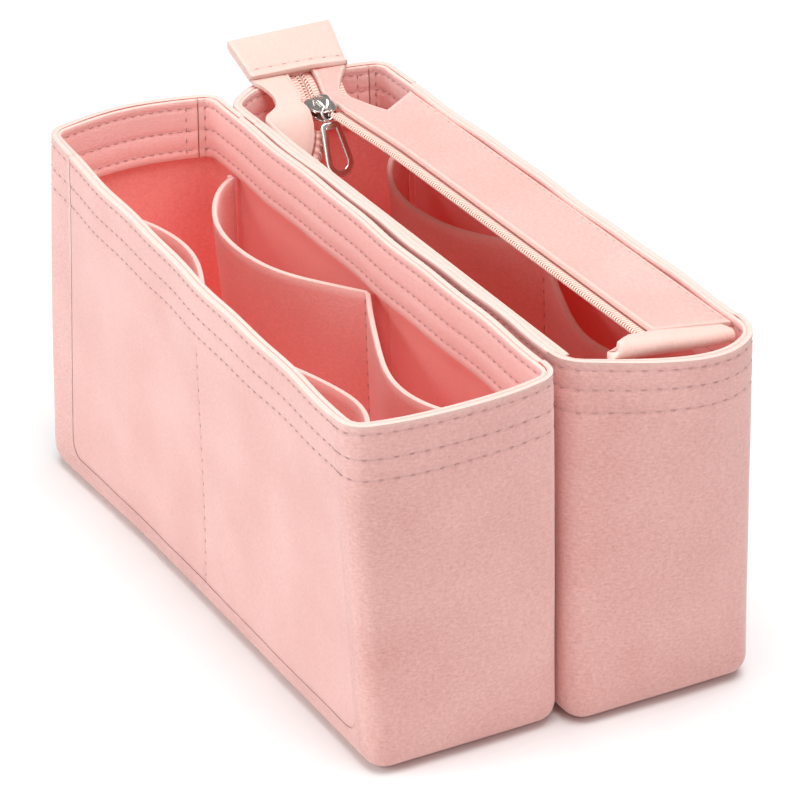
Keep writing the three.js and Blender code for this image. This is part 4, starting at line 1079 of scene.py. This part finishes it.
# The bridge: two rails that part from one foot, arch over the plate and meet again at the other. Each
# rises and stands aside by a power of a half sine; the back rail is the broad one. A rail is given as
# how far it stands aside, how high it rises and its half height.
bridge = {"start": -6.4, "length": 12.9, "y": -0.9, "foot": 2.3, "rise": 0.55, "spread": 0.7, "wide": 0.42,
          "flatness": 2.6, "rails": {"bridgeBack": (2.6, 4.0, 1.15), "bridgeFront": (-2.0, 3.7, 0.6)}}
t = np.linspace(0, 1, 26)
arch = np.sin(math.pi * t)
rails = []
for name, (aside, height, tall) in bridge["rails"].items():
    rail = stacked(bridge["start"] + bridge["length"] * t, bridge["y"] + aside * arch ** bridge["spread"],
                   bridge["foot"] + height * arch ** bridge["rise"])
    rails.append(sliderBar(name, rail, [0, 1, 0], (bridge["wide"], tall), flatness=bridge["flatness"]))
settle(joined("sliderBridge", rails), metalFinish, ["slider_bridge"], "slider")


# A closed bar of the pull, from its outline in the pull's own plane
def pullBar(name, x, y, a, b, node, flatness=2.0):
    path = stacked(x, y, 0 * x) @ pullTurn.T + pullPlace
    piece = barPiece(name, path, pullTurn @ [0, 0, 1], a, b, 14, True, flatness)
    settle(piece, metalFinish, [node], "pull")


turn = np.linspace(0, 2 * math.pi, 48, endpoint=False)
ring, wire, bar = pullSizes["ring"], pullSizes["ringWire"], pullSizes["bar"]
ringX = pullSizes["ringStretch"] * ring * (1 + np.cos(turn))
pullBar("pullRing", ringX, ring * np.sin(turn), wire / 2, wire / 2, "pull_ring")

# The loop's outline: two rounded corners at the eye, sides that spread, and a half circle at the tip
eyeX = pullSizes["ringStretch"] * (ring * 2 + wire / 2) + seat + bar / 2
eyeHalf, tipHalf = (pullSizes["eyeWidth"] - bar) / 2, (pullSizes["tipWidth"] - bar) / 2
tipCentre = eyeX - bar + pullSizes["loopLength"] - tipHalf
eyeRound = pullSizes["eyeRound"]
corner = np.linspace(math.pi, 1.5 * math.pi, 6)[:-1]
share = np.linspace(0, 1, 12)[:-1]
halfX = np.concatenate([eyeX + eyeRound + eyeRound * np.cos(corner),
                        eyeX + eyeRound + share * (tipCentre - eyeX - eyeRound)])
halfY = np.concatenate([eyeHalf - eyeRound - eyeRound * np.sin(corner),
                        eyeHalf + share * (tipHalf - eyeHalf)])
tipTurn = np.linspace(-math.pi / 2, math.pi / 2, 22)
loopX = np.concatenate([halfX, tipCentre + tipHalf * np.cos(tipTurn), halfX[::-1]])
loopY = np.concatenate([-halfY, tipHalf * np.sin(tipTurn), halfY[::-1]])
pullBar("pullLoop", loopX, loopY, bar / 2, pullSizes["thick"] / 2, "pull_loop", pullSizes["flatness"])
print("slider and pull made")

# A pale paper floor, a soft room, and three lights as (place, size, power, colour)
stageLook = {"size": 6.0, "speckle": 40, "deep": (0.86, 0.86, 0.86), "pale": (0.89, 0.89, 0.89),
             "world": 0.26, "room": (1.0, 0.99, 0.98, 1), "aim": (0, 0.04, 0.1), "bounces": 8}
lights = {
    "keyLight": ((-0.4, -1.6, 0.75), 1.3, 17.8, (0.86, 1.0, 1.0)),
    "skyLight": ((0.25, 0.1, 2.2), 2.0, 56.5, (1, 1, 1)),
    "fillLight": ((1.5, 0.1, 1.25), 1.0, 3.6, (1, 1, 1)),
}
bpy.ops.mesh.primitive_plane_add(size=stageLook["size"], location=(0, 0, 0))
floor = bpy.context.object
floor.name = "floor"
floor.data.materials.append(speckled("palePaper", stageLook, Roughness=0.9, Specular_IOR_Level=0.1))

world = bpy.data.worlds.new("softRoom")
world.use_nodes = True
world.node_tree.nodes["Background"].inputs["Color"].default_value = stageLook["room"]
world.node_tree.nodes["Background"].inputs["Strength"].default_value = stageLook["world"]
bpy.context.scene.world = world

for name, (spot, size, power, colour) in lights.items():
    light = bpy.data.lights.new(name, "AREA")
    light.shape, light.size, light.energy, light.color = "DISK", size, power, colour
    lamp = bpy.data.objects.new(name, light)
    lamp.location = spot
    lamp.rotation_mode = "QUATERNION"
    lamp.rotation_quaternion = (Vector(stageLook["aim"]) - Vector(spot)).to_track_quat("-Z", "Y")
    bpy.context.scene.collection.objects.link(lamp)

camera = {"azimuth": 61.2, "elevation": 28.5, "target": (0.0093, 0.04655, 0.082), "distance": 1.8,
          "lens": 189.585, "sensor": 36.0, "clip": (0.05, 50)}
az, el = math.radians(camera["azimuth"]), math.radians(camera["elevation"])
back = Vector((math.sin(az) * math.cos(el), -math.cos(az) * math.cos(el), math.sin(el)))
lens = bpy.data.cameras.new("productCamera")
lens.sensor_width, lens.lens = camera["sensor"], camera["lens"]
lens.clip_start, lens.clip_end = camera["clip"]
eye = bpy.data.objects.new("productCamera", lens)
eye.location = Vector(camera["target"]) + back * camera["distance"]
eye.rotation_mode = "QUATERNION"
eye.rotation_quaternion = (-back).to_track_quat("-Z", "Y")
bpy.context.scene.collection.objects.link(eye)
bpy.context.scene.camera = eye
bpy.context.scene.view_settings.view_transform = "Standard"
bpy.context.scene.view_settings.look = "None"
bpy.context.scene.cycles.diffuse_bounces = stageLook["bounces"]
print("stage set")
